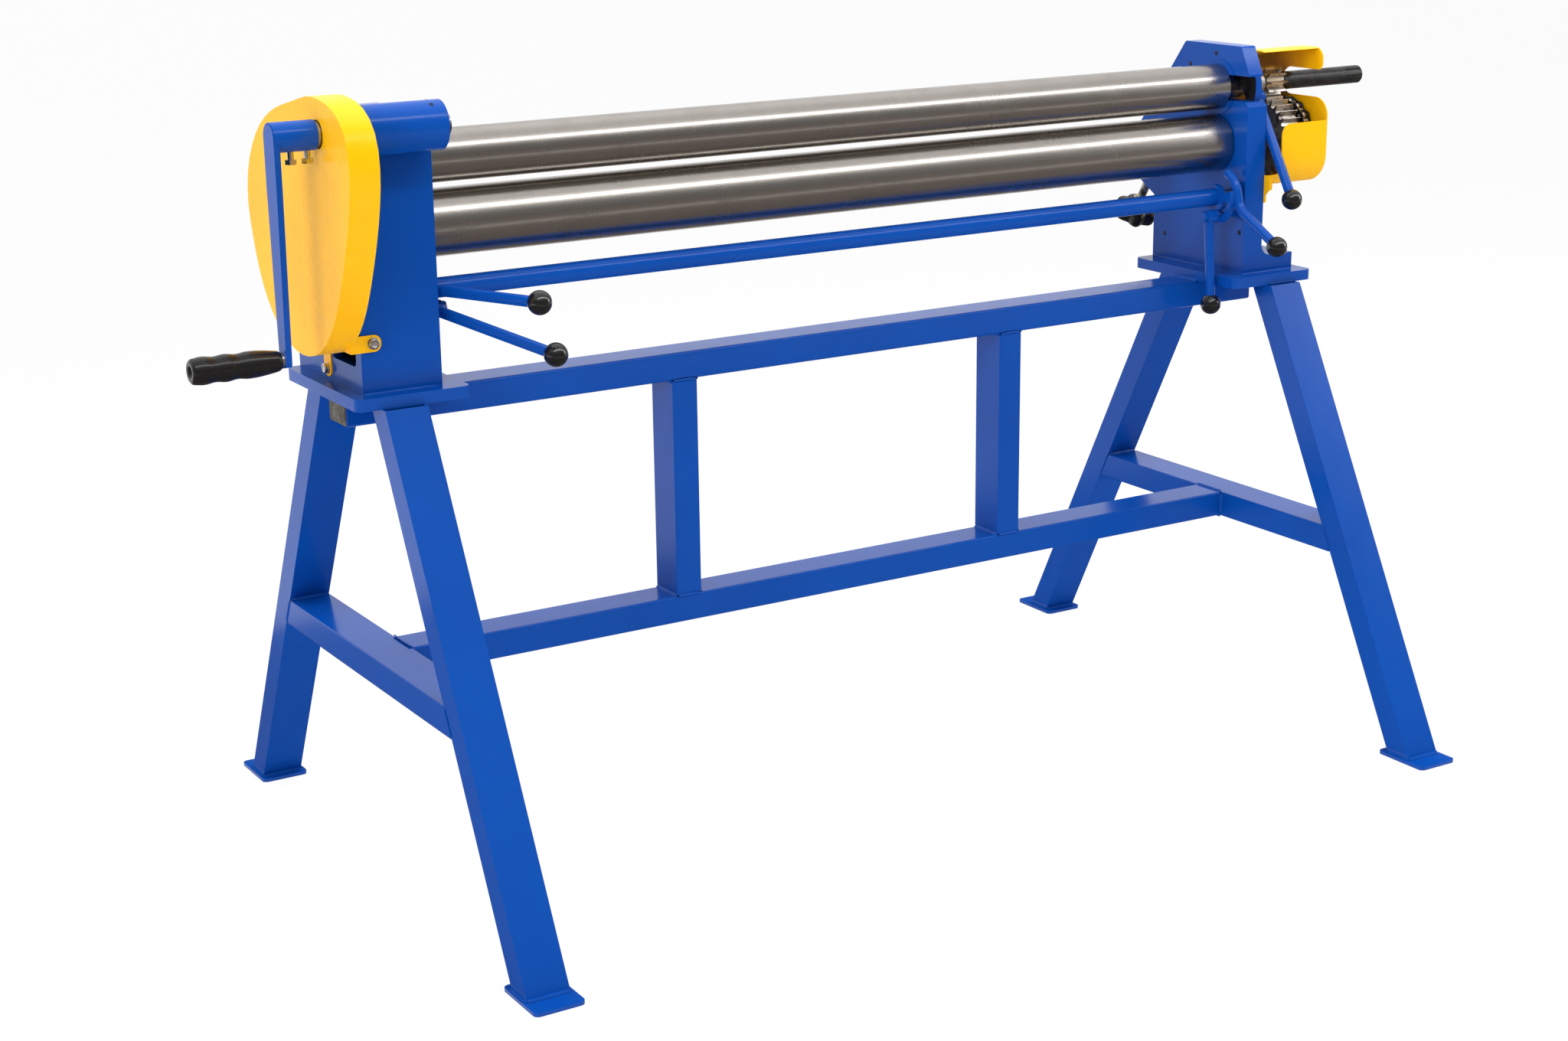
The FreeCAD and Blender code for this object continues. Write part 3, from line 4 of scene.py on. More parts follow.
import bmesh
import bpy
from mathutils import Matrix, Vector


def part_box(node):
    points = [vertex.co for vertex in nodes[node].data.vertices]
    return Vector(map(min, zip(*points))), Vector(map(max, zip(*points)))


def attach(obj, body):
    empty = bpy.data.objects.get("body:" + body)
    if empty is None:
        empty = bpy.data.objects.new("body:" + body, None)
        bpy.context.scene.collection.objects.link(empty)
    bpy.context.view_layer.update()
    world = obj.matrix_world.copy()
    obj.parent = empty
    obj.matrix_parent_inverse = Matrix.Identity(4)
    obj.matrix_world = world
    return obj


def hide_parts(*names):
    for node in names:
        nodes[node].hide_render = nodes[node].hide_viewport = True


# Slip roll machine: paint, steel, welds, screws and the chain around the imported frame.
# Metres; X along the rolls, Y to the rear, Z up.

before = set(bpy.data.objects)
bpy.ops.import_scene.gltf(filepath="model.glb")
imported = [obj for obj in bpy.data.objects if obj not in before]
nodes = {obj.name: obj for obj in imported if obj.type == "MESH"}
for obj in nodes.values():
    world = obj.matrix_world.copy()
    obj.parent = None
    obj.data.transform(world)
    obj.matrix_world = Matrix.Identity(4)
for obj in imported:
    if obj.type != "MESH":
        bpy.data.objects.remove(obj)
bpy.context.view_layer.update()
random.seed(11)
print("frame loaded:", len(nodes), "nodes")

midX = 0.020  # the side frames are placed evenly about this X
tipRadius = 0.0001  # a turned shape closes on its own axis with this radius


# meshes

def softenEdges(piece, width, angle):
    edge = piece.modifiers.new("softEdge", "BEVEL")
    edge.width = width
    edge.segments = 2
    edge.limit_method = "ANGLE"
    edge.angle_limit = math.radians(angle)
    edge.harden_normals = True


def newObject(name, mesh, body, material, smooth=True, bevel=0.0):
    piece = bpy.data.objects.new(name, mesh)
    bpy.context.scene.collection.objects.link(piece)
    for face in mesh.polygons:
        face.use_smooth = smooth
    mesh.materials.append(material)
    if bevel:
        softenEdges(piece, bevel, 40)
    if body:
        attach(piece, body)
    return piece


def meshFrom(name, vertices, faces):
    mesh = bpy.data.meshes.new(name)
    mesh.from_pydata([tuple(v) for v in vertices], [], faces)
    mesh.validate()
    mesh.update()
    return mesh


def roundPoint(radius, turn, along):
    return Vector((radius * math.cos(turn), radius * math.sin(turn), along))


def latheMesh(name, parts):
    # parts: profile of (along, radius), matrix from the turned shape's own Z, segments
    vertices = []
    faces = []
    for profile, place, segments in parts:
        start = len(vertices)
        for along, radius in profile:
            for k in range(segments):
                vertices.append(place @ roundPoint(radius, 2 * math.pi * k / segments, along))
        for row in range(len(profile) - 1):
            for k in range(segments):
                a = start + row * segments + k
                b = start + row * segments + (k + 1) % segments
                faces.append((a, b, b + segments, a + segments))
        ring = range(start, start + segments)
        faces.append(tuple(reversed(ring)))
        faces.append(tuple(k + (len(profile) - 1) * segments for k in ring))
    return meshFrom(name, vertices, faces)


def ringMesh(name, rings, closeLast):
    # rings of points, each joined to the next; the first one is closed
    mesh = bmesh.new()
    rows = [[mesh.verts.new(point) for point in ring] for ring in rings]
    for first, second in zip(rows, rows[1:]):
        for k in range(len(first)):
            n = (k + 1) % len(first)
            mesh.faces.new((first[k], first[n], second[n], second[k]))
    mesh.faces.new(rows[0][::-1])
    if closeLast:
        mesh.faces.new(rows[-1])
    mesh.normal_update()
    bmesh.ops.recalc_face_normals(mesh, faces=mesh.faces[:])
    data = bpy.data.meshes.new(name)
    mesh.to_mesh(data)
    mesh.free()
    return data


def facing(point, direction):
    # local +Z to the given direction, at the given point
    turn = Vector(direction).to_track_quat("Z", "Y").to_matrix().to_4x4()
    return Matrix.Translation(Vector(point)) @ turn


def boxPoints(name):
    low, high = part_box(name)
    return Vector(low), Vector(high)


# shader nodes

def feed(tree, value, socket):
    # a number or a colour is set, anything else is linked
    if isinstance(value, (int, float, tuple)):
        socket.default_value = value
    else:
        tree.links.new(value, socket)


def addNode(tree, kind, **settings):
    node = tree.nodes.new(kind)
    for key, value in settings.items():
        setattr(node, key, value)
    return node


def addNoise(tree, vector, scale, detail=2.0, roughness=0.5):
    noise = addNode(tree, "ShaderNodeTexNoise")
    feed(tree, scale, noise.inputs["Scale"])
    noise.inputs["Detail"].default_value = detail
    noise.inputs["Roughness"].default_value = roughness
    tree.links.new(vector, noise.inputs["Vector"])
    return noise.outputs["Fac"]


def addRange(tree, value, low, high, toLow=0.0, toHigh=1.0):
    node = addNode(tree, "ShaderNodeMapRange")
    for socket, source in zip(node.inputs, (value, low, high, toLow, toHigh)):
        feed(tree, source, socket)
    return node.outputs["Result"]


def addMix(tree, factor, first, second):
    node = addNode(tree, "ShaderNodeMix", data_type="RGBA")
    for index, value in ((0, factor), (6, first), (7, second)):
        feed(tree, value, node.inputs[index])
    return node.outputs[2]


def addMath(tree, operation, first, second):
    node = addNode(tree, "ShaderNodeMath", operation=operation)
    for socket, value in zip(node.inputs, (first, second)):
        feed(tree, value, socket)
    return node.outputs[0]


def startGroup(name, inputs):
    group = bpy.data.node_groups.new(name, "ShaderNodeTree")
    for title, value in inputs.items():
        kind = "NodeSocketColor" if isinstance(value, tuple) else "NodeSocketFloat"
        group.interface.new_socket(name=title, in_out="INPUT", socket_type=kind).default_value = value
    for title, kind in (("Color", "NodeSocketColor"), ("Roughness", "NodeSocketFloat"),
                        ("Height", "NodeSocketFloat")):
        group.interface.new_socket(name=title, in_out="OUTPUT", socket_type=kind)
    given = group.nodes.new("NodeGroupInput").outputs
    where = addNode(group, "ShaderNodeTexCoord").outputs["Object"]
    return group, given, where


def endGroup(group, colour, rough, height):
    output = group.nodes.new("NodeGroupOutput")
    for title, value in (("Color", colour), ("Roughness", rough), ("Height", height)):
        group.links.new(value, output.inputs[title])
    return group


# sprayed enamel: orange peel, slow drifts of shade and small rubbed specks
enamel = {
    "drift": (5.0, 3.0), "mottle": (38.0, 4.0, 0.6), "specks": (420.0, 2.0, 0.7),  # scale, detail, roughness
    "driftEdges": (0.35, 0.68), "speckEdges": (0.69, 0.76), "patchEdges": (0.52, 0.62), "rubbedShare": 0.25,
    "roughness": (0.3, 0.75, -0.02, 0.05), "rubbedRoughness": 0.1, "peelHeight": 0.6, "mottleHeight": 0.5,
}


def makeEnamel():
    tree, given, where = startGroup("enamelFilm", {
        "Paint": (0.1, 0.1, 0.1, 1), "Deep Paint": (0.05, 0.05, 0.05, 1), "Rubbed": (0.3, 0.3, 0.3, 1),
        "Gloss": 0.3, "Peel Size": 260.0,
    })
    drift = addRange(tree, addNoise(tree, where, *enamel["drift"]), *enamel["driftEdges"])
    mottle = addNoise(tree, where, *enamel["mottle"])
    specks = addRange(tree, addNoise(tree, where, *enamel["specks"]), *enamel["speckEdges"])
    peel = addNoise(tree, where, given["Peel Size"])
    rubs = addMath(tree, "MULTIPLY", specks, addRange(tree, mottle, *enamel["patchEdges"]))
    colour = addMix(tree, drift, given["Paint"], given["Deep Paint"])
    colour = addMix(tree, addMath(tree, "MULTIPLY", rubs, enamel["rubbedShare"]), colour, given["Rubbed"])
    rough = addMath(tree, "ADD", given["Gloss"], addRange(tree, mottle, *enamel["roughness"]))
    rough = addMath(tree, "ADD", rough, addMath(tree, "MULTIPLY", rubs, enamel["rubbedRoughness"]))
    peelHeight = addMath(tree, "MULTIPLY", peel, enamel["peelHeight"])
    height = addMath(tree, "ADD", peelHeight, addMath(tree, "MULTIPLY", mottle, enamel["mottleHeight"]))
    return endGroup(tree, colour, rough, height)


# turned steel: fine rings round the roll, faint bands along it and clouds of stain
turnedSteel = {
    "ringDetail": 3.0, "bands": (26.0, 3.0), "bandEdges": (0.35, 0.7, 0.0, 0.12),
    "clouds": (14.0, 4.0, 0.6), "cloudEdges": (0.5, 0.8), "stainShare": 0.45,
    "roughness": (0.3, 0.7, -0.015, 0.025), "stainRoughness": 0.15,
}


def makeTurnedSteel():
    tree, given, where = startGroup("turnedSteel", {
        "Steel": (0.5, 0.5, 0.5, 1), "Stain": (0.2, 0.17, 0.14, 1), "Gloss": 0.25, "Ring Size": 900.0,
    })
    split = addNode(tree, "ShaderNodeSeparateXYZ")
    tree.links.new(where, split.inputs[0])
    line = addNode(tree, "ShaderNodeCombineXYZ")
    tree.links.new(split.outputs["X"], line.inputs["X"])
    rings = addNoise(tree, line.outputs[0], given["Ring Size"], turnedSteel["ringDetail"])
    bands = addRange(tree, addNoise(tree, line.outputs[0], *turnedSteel["bands"]), *turnedSteel["bandEdges"])
    clouds = addRange(tree, addNoise(tree, where, *turnedSteel["clouds"]), *turnedSteel["cloudEdges"])
    stained = addMath(tree, "MULTIPLY", clouds, turnedSteel["stainShare"])
    colour = addMix(tree, bands, given["Steel"], given["Stain"])
    colour = addMix(tree, stained, colour, given["Stain"])
    rough = addMath(tree, "ADD", given["Gloss"], addRange(tree, rings, *turnedSteel["roughness"]))
    rough = addMath(tree, "ADD", rough, addMath(tree, "MULTIPLY", stained, turnedSteel["stainRoughness"]))
    return endGroup(tree, colour, rough, rings)


# oily steel: blotches of grease over a bare or blackened surface
oilySteel = {
    "blots": (60.0, 5.0, 0.65), "grain": (700.0, 2.0), "edgeStart": 0.75, "edgeFall": 0.5,
    "edgeSoftness": 0.06, "roughness": (0.3, 0.7, -0.05, 0.08), "grainHeight": 0.4,
}


def makeOilySteel():
    tree, given, where = startGroup("oilySteel", {
        "Metal": (0.35, 0.34, 0.33, 1), "Grease": (0.04, 0.03, 0.025, 1), "Greasiness": 0.5, "Gloss": 0.3,
    })
    blots = addNoise(tree, where, *oilySteel["blots"])
    grain = addNoise(tree, where, *oilySteel["grain"])
    fall = addMath(tree, "MULTIPLY", given["Greasiness"], oilySteel["edgeFall"])
    edge = addMath(tree, "SUBTRACT", oilySteel["edgeStart"], fall)
    low = addMath(tree, "SUBTRACT", edge, oilySteel["edgeSoftness"])
    high = addMath(tree, "ADD", edge, oilySteel["edgeSoftness"])
    colour = addMix(tree, addRange(tree, blots, low, high), given["Metal"], given["Grease"])
    rough = addMath(tree, "ADD", given["Gloss"], addRange(tree, grain, *oilySteel["roughness"]))
    height = addMath(tree, "ADD", addMath(tree, "MULTIPLY", grain, oilySteel["grainHeight"]), blots)
    return endGroup(tree, colour, rough, height)


# moulded plastic: faint flow marks, fine grain and light scuffs
mouldedSkin = {
    "flow": (30.0, 3.0), "scuffs": (240.0, 3.0, 0.7), "scuffEdges": (0.6, 0.72), "flowEdges": (0.45, 0.6),
    "scuffShare": 0.55, "scuffRoughness": 0.25, "roughness": (0.3, 0.7, -0.03, 0.05),
}


def makeMouldedSkin():
    tree, given, where = startGroup("mouldedSkin", {
        "Plastic": (0.02, 0.02, 0.02, 1), "Scuffed": (0.08, 0.08, 0.08, 1), "Gloss": 0.25,
        "Grain Size": 900.0,
    })
    flow = addNoise(tree, where, *mouldedSkin["flow"])
    scuffs = addRange(tree, addNoise(tree, where, *mouldedSkin["scuffs"]), *mouldedSkin["scuffEdges"])
    grain = addNoise(tree, where, given["Grain Size"])
    marks = addMath(tree, "MULTIPLY", scuffs, addRange(tree, flow, *mouldedSkin["flowEdges"]))
    share = addMath(tree, "MULTIPLY", marks, mouldedSkin["scuffShare"])
    colour = addMix(tree, share, given["Plastic"], given["Scuffed"])
    rough = addMath(tree, "ADD", given["Gloss"], addRange(tree, flow, *mouldedSkin["roughness"]))
    rough = addMath(tree, "ADD", rough, addMath(tree, "MULTIPLY", marks, mouldedSkin["scuffRoughness"]))
    return endGroup(tree, colour, rough, grain)


enamelGroup = makeEnamel()
turnedGroup = makeTurnedSteel()
oilyGroup = makeOilySteel()
mouldedGroup = makeMouldedSkin()


# materials

def makeMaterial(name, group, values, bump, metallic=0.0, coat=(0.0, 0.1), specular=0.5):
    # bump: strength and distance; coat: weight and roughness
    material = bpy.data.materials.new(name)
    material.use_nodes = True
    tree = material.node_tree
    shader = tree.nodes["Principled BSDF"]
    effect = tree.nodes.new("ShaderNodeGroup")
    effect.node_tree = group
    for key, value in values.items():
        effect.inputs[key].default_value = value
    tree.links.new(effect.outputs["Color"], shader.inputs["Base Color"])
    tree.links.new(effect.outputs["Roughness"], shader.inputs["Roughness"])
    relief = tree.nodes.new("ShaderNodeBump")
    relief.inputs["Strength"].default_value = bump[0]
    relief.inputs["Distance"].default_value = bump[1]
    tree.links.new(effect.outputs["Height"], relief.inputs["Height"])
    tree.links.new(relief.outputs["Normal"], shader.inputs["Normal"])
    shader.inputs["Metallic"].default_value = metallic
    shader.inputs["Coat Weight"].default_value = coat[0]
    shader.inputs["Coat Roughness"].default_value = coat[1]
    shader.inputs["Specular IOR Level"].default_value = specular
    return material


bluePaint = makeMaterial("blueEnamel", enamelGroup, {
    "Paint": (0.002, 0.068, 0.375, 1), "Deep Paint": (0.002, 0.060, 0.340, 1),
    "Rubbed": (0.005, 0.09, 0.42, 1), "Gloss": 0.17, "Peel Size": 230.0,
}, bump=(0.04, 0.0003), specular=0.22)
yellowPaint = makeMaterial("yellowEnamel", enamelGroup, {
    "Paint": (1.0, 0.52, 0.002, 1), "Deep Paint": (0.98, 0.47, 0.002, 1), "Rubbed": (1.0, 0.58, 0.03, 1),
    "Gloss": 0.26, "Peel Size": 300.0,
}, bump=(0.03, 0.0003), specular=0.16)
rollSteel = makeMaterial("turnedRollSteel", turnedGroup, {
    "Steel": (0.46, 0.43, 0.40, 1), "Stain": (0.31, 0.275, 0.245, 1), "Gloss": 0.24, "Ring Size": 420.0,
}, bump=(0.006, 0.00005), metallic=1.0)
plainSteel = makeMaterial("machinedSteel", oilyGroup, {
    "Metal": (0.46, 0.45, 0.43, 1), "Grease": (0.10, 0.085, 0.07, 1), "Greasiness": 0.35, "Gloss": 0.30,
}, bump=(0.3, 0.0002), metallic=1.0)
gearSteel = makeMaterial("greasedGearSteel", oilyGroup, {
    "Metal": (0.64, 0.62, 0.59, 1), "Grease": (0.26, 0.23, 0.20, 1), "Greasiness": 0.38, "Gloss": 0.32,
}, bump=(0.25, 0.0002), metallic=0.95)
blackSteel = makeMaterial("blackenedSteel", oilyGroup, {
    "Metal": (0.022, 0.021, 0.021, 1), "Grease": (0.012, 0.011, 0.011, 1), "Greasiness": 0.5, "Gloss": 0.28,
}, bump=(0.12, 0.0001), metallic=0.2, specular=0.4)
rawPlate = makeMaterial("rawPlate", oilyGroup, {
    "Metal": (0.20, 0.19, 0.17, 1), "Grease": (0.09, 0.075, 0.06, 1), "Greasiness": 0.6, "Gloss": 0.5,
}, bump=(0.5, 0.0003), metallic=0.7)
zincSteel = makeMaterial("zincScrewSteel", oilyGroup, {
    "Metal": (0.62, 0.61, 0.58, 1), "Grease": (0.30, 0.27, 0.22, 1), "Greasiness": 0.3, "Gloss": 0.22,
}, bump=(0.25, 0.0002), metallic=1.0)
ballPlastic = makeMaterial("ballPlastic", mouldedGroup, {
    "Plastic": (0.006, 0.006, 0.006, 1), "Scuffed": (0.03, 0.03, 0.03, 1), "Gloss": 0.10,
    "Grain Size": 900.0,
}, bump=(0.06, 0.0001), coat=(0.5, 0.05))
gripPlastic = makeMaterial("gripPlastic", mouldedGroup, {
    "Plastic": (0.010, 0.009, 0.009, 1), "Scuffed": (0.05, 0.045, 0.04, 1), "Gloss": 0.24,
    "Grain Size": 1400.0,
}, bump=(0.08, 0.0001), coat=(0.12, 0.12), specular=0.28)
# flat near-black steel for hole bottoms and screw sockets: painted shade where the recesses would be deep
paintedHoleShade = makeMaterial("holeShadow", oilyGroup, {
    "Metal": (0.012, 0.012, 0.014, 1), "Grease": (0.004, 0.004, 0.004, 1), "Greasiness": 0.5, "Gloss": 0.6,
}, bump=(0.2, 0.0001))
print("materials made")


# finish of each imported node

rollNames = ("upper_roll", "lower_roll", "rear_roll")


def finishOf(name):
    if name in ("left_guard", "right_guard"):
        return yellowPaint
    if name in rollNames:
        return rollSteel
    if "knob" in name:
        return gripPlastic if name.startswith("star") else ballPlastic
    if name == "crank_grip":
        return gripPlastic
    if name in ("drive_gear", "right_gear", "right_pinion", "crank_pinion") or name.startswith("sprocket"):
        return gearSteel
    if name in ("pull_bar", "drive_chain"):
        return blackSteel
    if name.startswith(("adjust_screw", "eccentric", "lower_block", "rear_block")) or name == "crank_shaft":
        return plainSteel
    return bluePaint


# width of the softened edges, by the start of the node's name
softEdges = {
    "leg": 0.004, "brace": 0.004, "post": 0.003, "lower_beam": 0.004, "top_beam": 0.004, "base_plate": 0.002,
    "left_frame": 0.0025, "right_frame": 0.0025, "left_guard": 0.0009, "right_guard": 0.0006,
    "crank_arm": 0.0015, "drive_gear": 0.0004, "right_gear": 0.0005, "right_pinion": 0.0005,
    "crank_pinion": 0.0004, "sprocket": 0.0004, "bearing_housing": 0.0015, "upper_roll": 0.001,
    "lower_roll": 0.001, "rear_roll": 0.001, "other": 0.0008,
}
smoothing = {"joinDistance": 0.00001, "sharpAngle": 28, "bevelAngle": 38}


def makeFacetSmoother():
    # joins split corners, then shades round faces smooth and keeps real corners sharp
    group = bpy.data.node_groups.new("smoothFacets", "GeometryNodeTree")
    group.interface.new_socket(name="Geometry", in_out="INPUT", socket_type="NodeSocketGeometry")
    group.interface.new_socket(name="Geometry", in_out="OUTPUT", socket_type="NodeSocketGeometry")
    source = group.nodes.new("NodeGroupInput")
    result = group.nodes.new("NodeGroupOutput")
    merge = group.nodes.new("GeometryNodeMergeByDistance")
    merge.inputs["Distance"].default_value = smoothing["joinDistance"]
    angle = group.nodes.new("GeometryNodeInputMeshEdgeAngle")
    sharp = group.nodes.new("FunctionNodeCompare")
    sharp.operation = "GREATER_THAN"
    sharp.inputs[1].default_value = math.radians(smoothing["sharpAngle"])
    normals = group.nodes.new("GeometryNodeSetMeshNormal")
    normals.inputs["Remove Custom"].default_value = True
    group.links.new(source.outputs[0], merge.inputs["Geometry"])
    group.links.new(merge.outputs[0], normals.inputs["Mesh"])
    group.links.new(angle.outputs["Unsigned Angle"], sharp.inputs[0])
    group.links.new(sharp.outputs[0], normals.inputs["Edge Sharpness"])
    group.links.new(normals.outputs[0], result.inputs[0])
    return group


facetSmoother = makeFacetSmoother()
for name, node in nodes.items():
    node.data.materials.clear()
    node.data.materials.append(finishOf(name))
    for face in node.data.polygons:
        face.material_index = 0
    width = next((value for key, value in softEdges.items() if name.startswith(key)), softEdges["other"])
    node.modifiers.new("smoothFacets", "NODES").node_group = facetSmoother
    softenEdges(node, width, smoothing["bevelAngle"])

# where a second finish starts on a node
bare = {
    "rollEnd": 0.6865, "beamEnd": -0.75, "frontTab": (-0.77, -0.0947, 0.785), "sideTab": (-0.7755, 0.735),
    "lockFace": (-0.0765, 0.950), "setScrews": (-0.878, 1.005, 1.0265), "spindle": -0.8885, "endFace": -0.9,
}


def repaint(name, material, inRegion):
    # faces whose middle lies in the region take a second material; p is the middle, n the normal
    node = nodes[name]
    node.data.materials.append(material)
    index = len(node.data.materials) - 1
    for face in node.data.polygons:
        if inRegion(node.matrix_world @ face.center, node.matrix_world.to_3x3() @ face.normal):
            face.material_index = index


def onFrontTab(p, n):
    x, y, z = bare["frontTab"]
    return p.x > x and p.y < y and p.z < z


def onSetScrews(p, n):
    x, low, high = bare["setScrews"]
    return low < p.z < high and p.x > x


for name in rollNames:
    repaint(name, plainSteel, lambda p, n: abs(p.x - midX) > bare["rollEnd"])
repaint("top_beam", rawPlate, lambda p, n: n.x < bare["endFace"] and p.x < bare["beamEnd"])
repaint("left_guard", zincSteel, onFrontTab)
repaint("left_guard", zincSteel, lambda p, n: p.x < bare["sideTab"][0] and p.z < bare["sideTab"][1])
repaint("roll_lock", blackSteel,
        lambda p, n: n.x < bare["endFace"] and p.y > bare["lockFace"][0] and p.z > bare["lockFace"][1])
repaint("crank_arm", zincSteel, onSetScrews)
repaint("crank_arm", plainSteel, lambda p, n: p.x < bare["spindle"])
print("frame finished")


# weld beads along the joints of the stand

weld = {
    "width": 0.0045, "ripple": 0.0009, "pitch": 0.0042, "wander": 0.00021, "swell": 0.14, "flatness": 0.62,
    "endWidth": 0.35, "endSteps": 3.0, "rows": 7, "steps": 4, "fewest": 8,  # steps to a ripple, to a bead
}
stand = {
    "legX": 0.749, "halfWidth": 0.030, "legReach": 0.4809, "legTopReach": 0.1288, "legHigh": 0.6886,
    "legDepth": 0.040, "padTop": 0.005, "braceLow": 0.2915, "braceHigh": 0.3315, "beamLow": 0.6486,
    "beamHigh": 0.6886, "beamFace": 0.030, "beamSeam": 0.029, "postX": 0.285, "postHalf": 0.020,
    "postSeam": 0.018, "plateTop": 0.705, "plateEdge": 0.653, "capReach": 0.1165,
}
feet = {"inner": 0.690, "outer": 0.793, "front": -0.0925, "seam": (-0.090, 0.124)}
inset = {"cap": 0.004, "brace": 0.002, "side": 0.003}  # how far a seam stops short of its corners
seams = {
    "cap": {"width": 0.004}, "brace": {"width": 0.0042}, "braceSide": {"width": 0.0024, "ripple": 0.0004},
    "tee": {"width": 0.0035}, "plateEdge": {"width": 0.006}, "postSide": {"width": 0.0022, "ripple": 0.0004},
    "frameFoot": {"width": 0.002, "ripple": 0.0003},
}
legSlope = (stand["legReach"] - stand["legTopReach"]) / stand["legHigh"]
legDepth = stand["legDepth"] * math.sqrt(1 + legSlope ** 2)
beadVertices = []
beadFaces = []


def addBead(points, up, **changes):
    # a low rippled ridge along the points; up points away from the two joined faces
    settings = {**weld, **changes}
    path = [Vector(p) for p in points]
    up = Vector(up)
    lengths = [0.0]
    for first, second in zip(path, path[1:]):
        lengths.append(lengths[-1] + (second - first).length)
    count = max(int(lengths[-1] / (settings["pitch"] / settings["steps"])), settings["fewest"])
    rows = settings["rows"]
    start = len(beadVertices)
    for step in range(count + 1):
        reach = lengths[-1] * step / count
        part = 0
        while part < len(path) - 2 and reach > lengths[part + 1]:
            part += 1
        span = max(lengths[part + 1] - lengths[part], 1e-9)
        point = path[part].lerp(path[part + 1], (reach - lengths[part]) / span)
        run = (path[part + 1] - path[part]).normalized()
        side = run.cross(up).normalized()
        lift = side.cross(run).normalized()
        wave = abs(math.sin(math.pi * reach / settings["pitch"]))
        half = settings["width"] * (1 - settings["swell"] + settings["swell"] * wave)
        half += random.uniform(-1, 1) * settings["wander"]
        half *= min(1.0, settings["endWidth"] + min(step, count - step) / settings["endSteps"])
        high = (half + settings["ripple"] * wave) * settings["flatness"]
        for row in range(rows):
            angle = math.pi * row / (rows - 1)
            beadVertices.append(point + side * (math.cos(angle) * half) + lift * (math.sin(angle) * high))
    for step in range(count):
        for row in range(rows - 1):
            a = start + step * rows + row
            beadFaces.append((a, a + 1, a + rows + 1, a + rows))


def legFace(height, outer=True):
    reach = stand["legReach"] - legSlope * height
    return reach if outer else reach - legDepth


def weldLeg(x0, x1, sideY):
    # foot plate, base plate and brace of one leg
    low = stand["padTop"]
    outer = sideY * legFace(low)
    inner = sideY * legFace(low, False)
    addBead([(x0, outer, low), (x1, outer, low)], (0, sideY, 1))
    addBead([(x0, inner, low), (x1, inner, low)], (0, -sideY, 1))
    addBead([(x0, outer, low), (x0, inner, low)], (-1, 0, 1))
    addBead([(x1, outer, low), (x1, inner, low)], (1, 0, 1))
    high = stand["legHigh"]
    cap = sideY * stand["capReach"]
    addBead([(x0 + inset["cap"], cap, high), (x1 - inset["cap"], cap, high)], (0, sideY, -1), **seams["cap"])
    inner = sideY * legFace(high, False)
    addBead([(x0, inner, high), (x1, inner, high)], (0, -sideY, -1))
    for z, sign in ((stand["braceHigh"], 1), (stand["braceLow"], -1)):
        reach = sideY * legFace(z, False)
        addBead([(x0 + inset["brace"], reach, z), (x1 - inset["brace"], reach, z)], (0, -sideY, sign),
                **seams["brace"])
    top = stand["braceHigh"] - inset["side"]
    bottom = stand["braceLow"] + inset["side"]
    for x, sign in ((x0, -1), (x1, 1)):
        addBead([(x, sideY * legFace(top, False), top), (x, sideY * legFace(bottom, False), bottom)],
                (sign, -sideY * 0.4, 0), **seams["braceSide"])


def weldBeams(sideX):
    # lower beam to brace, top beam to base plate, and one post to both beams
    inner = midX + sideX * (stand["legX"] - stand["halfWidth"])
    seam = stand["beamSeam"]
    face = stand["beamFace"]
    for z, sign in ((stand["braceHigh"], 1), (stand["braceLow"], -1)):
        addBead([(inner, -seam, z), (inner, seam, z)], (-sideX, 0, sign), **seams["tee"])
    low = stand["braceLow"] + inset["side"]
    high = stand["braceHigh"] - inset["side"]
    for y, sign in ((-face, -1), (face, 1)):
        addBead([(inner, y, low), (inner, y, high)], (-sideX, sign, 0))
    edge = midX + sideX * stand["plateEdge"]
    top = stand["beamHigh"]
    addBead([(edge, -seam, top), (edge, seam, top)], (-sideX, 0, 1), **seams["plateEdge"])
    postX = midX + sideX * stand["postX"]
    for z, sign in ((stand["braceHigh"], 1), (stand["beamLow"], -1)):
        for x, out in ((postX - stand["postHalf"], -1), (postX + stand["postHalf"], 1)):
            addBead([(x, -seam, z), (x, seam, z)], (out, 0, sign))
        for y, out in ((-face, -1), (face, 1)):
            addBead([(postX - stand["postSeam"], y, z), (postX + stand["postSeam"], y, z)],
                    (0, out, sign * 0.5), **seams["postSide"])


def weldFrameFoot(sideX):
    inner = midX + sideX * feet["inner"]
    outer = midX + sideX * feet["outer"]
    front, rear = feet["seam"]
    z = stand["plateTop"]
    addBead([(inner, front, z), (inner, rear, z)], (-sideX, 0, 1), **seams["frameFoot"])
    addBead([(inner, feet["front"], z), (outer, feet["front"], z)], (0, -1, 1), **seams["frameFoot"])


for sideX in (-1, 1):
    legX = midX + sideX * stand["legX"]
    for sideY in (-1, 1):
        weldLeg(legX - stand["halfWidth"], legX + stand["halfWidth"], sideY)
    weldBeams(sideX)
for sideX in (-1, 1):
    weldFrameFoot(sideX)
newObject("weldBeads", meshFrom("weldBeads", beadVertices, beadFaces), "stand", bluePaint)
print("welds laid")


# screws of the left guard's two tabs

guardScrews = {
    "places": (((-0.776, -0.1005, 0.771), (0, -1, 0)), ((-0.801, 0.020, 0.721), (-1, 0, 0))),  # from midX
    "sink": 0.0058, "radius": 0.0068, "high": 0.0062, "socketRadius": 0.0031, "socketAt": 0.0053,
    "socketDepth": 0.0003, "washerRadius": 0.0080, "washerHigh": 0.0010,
}


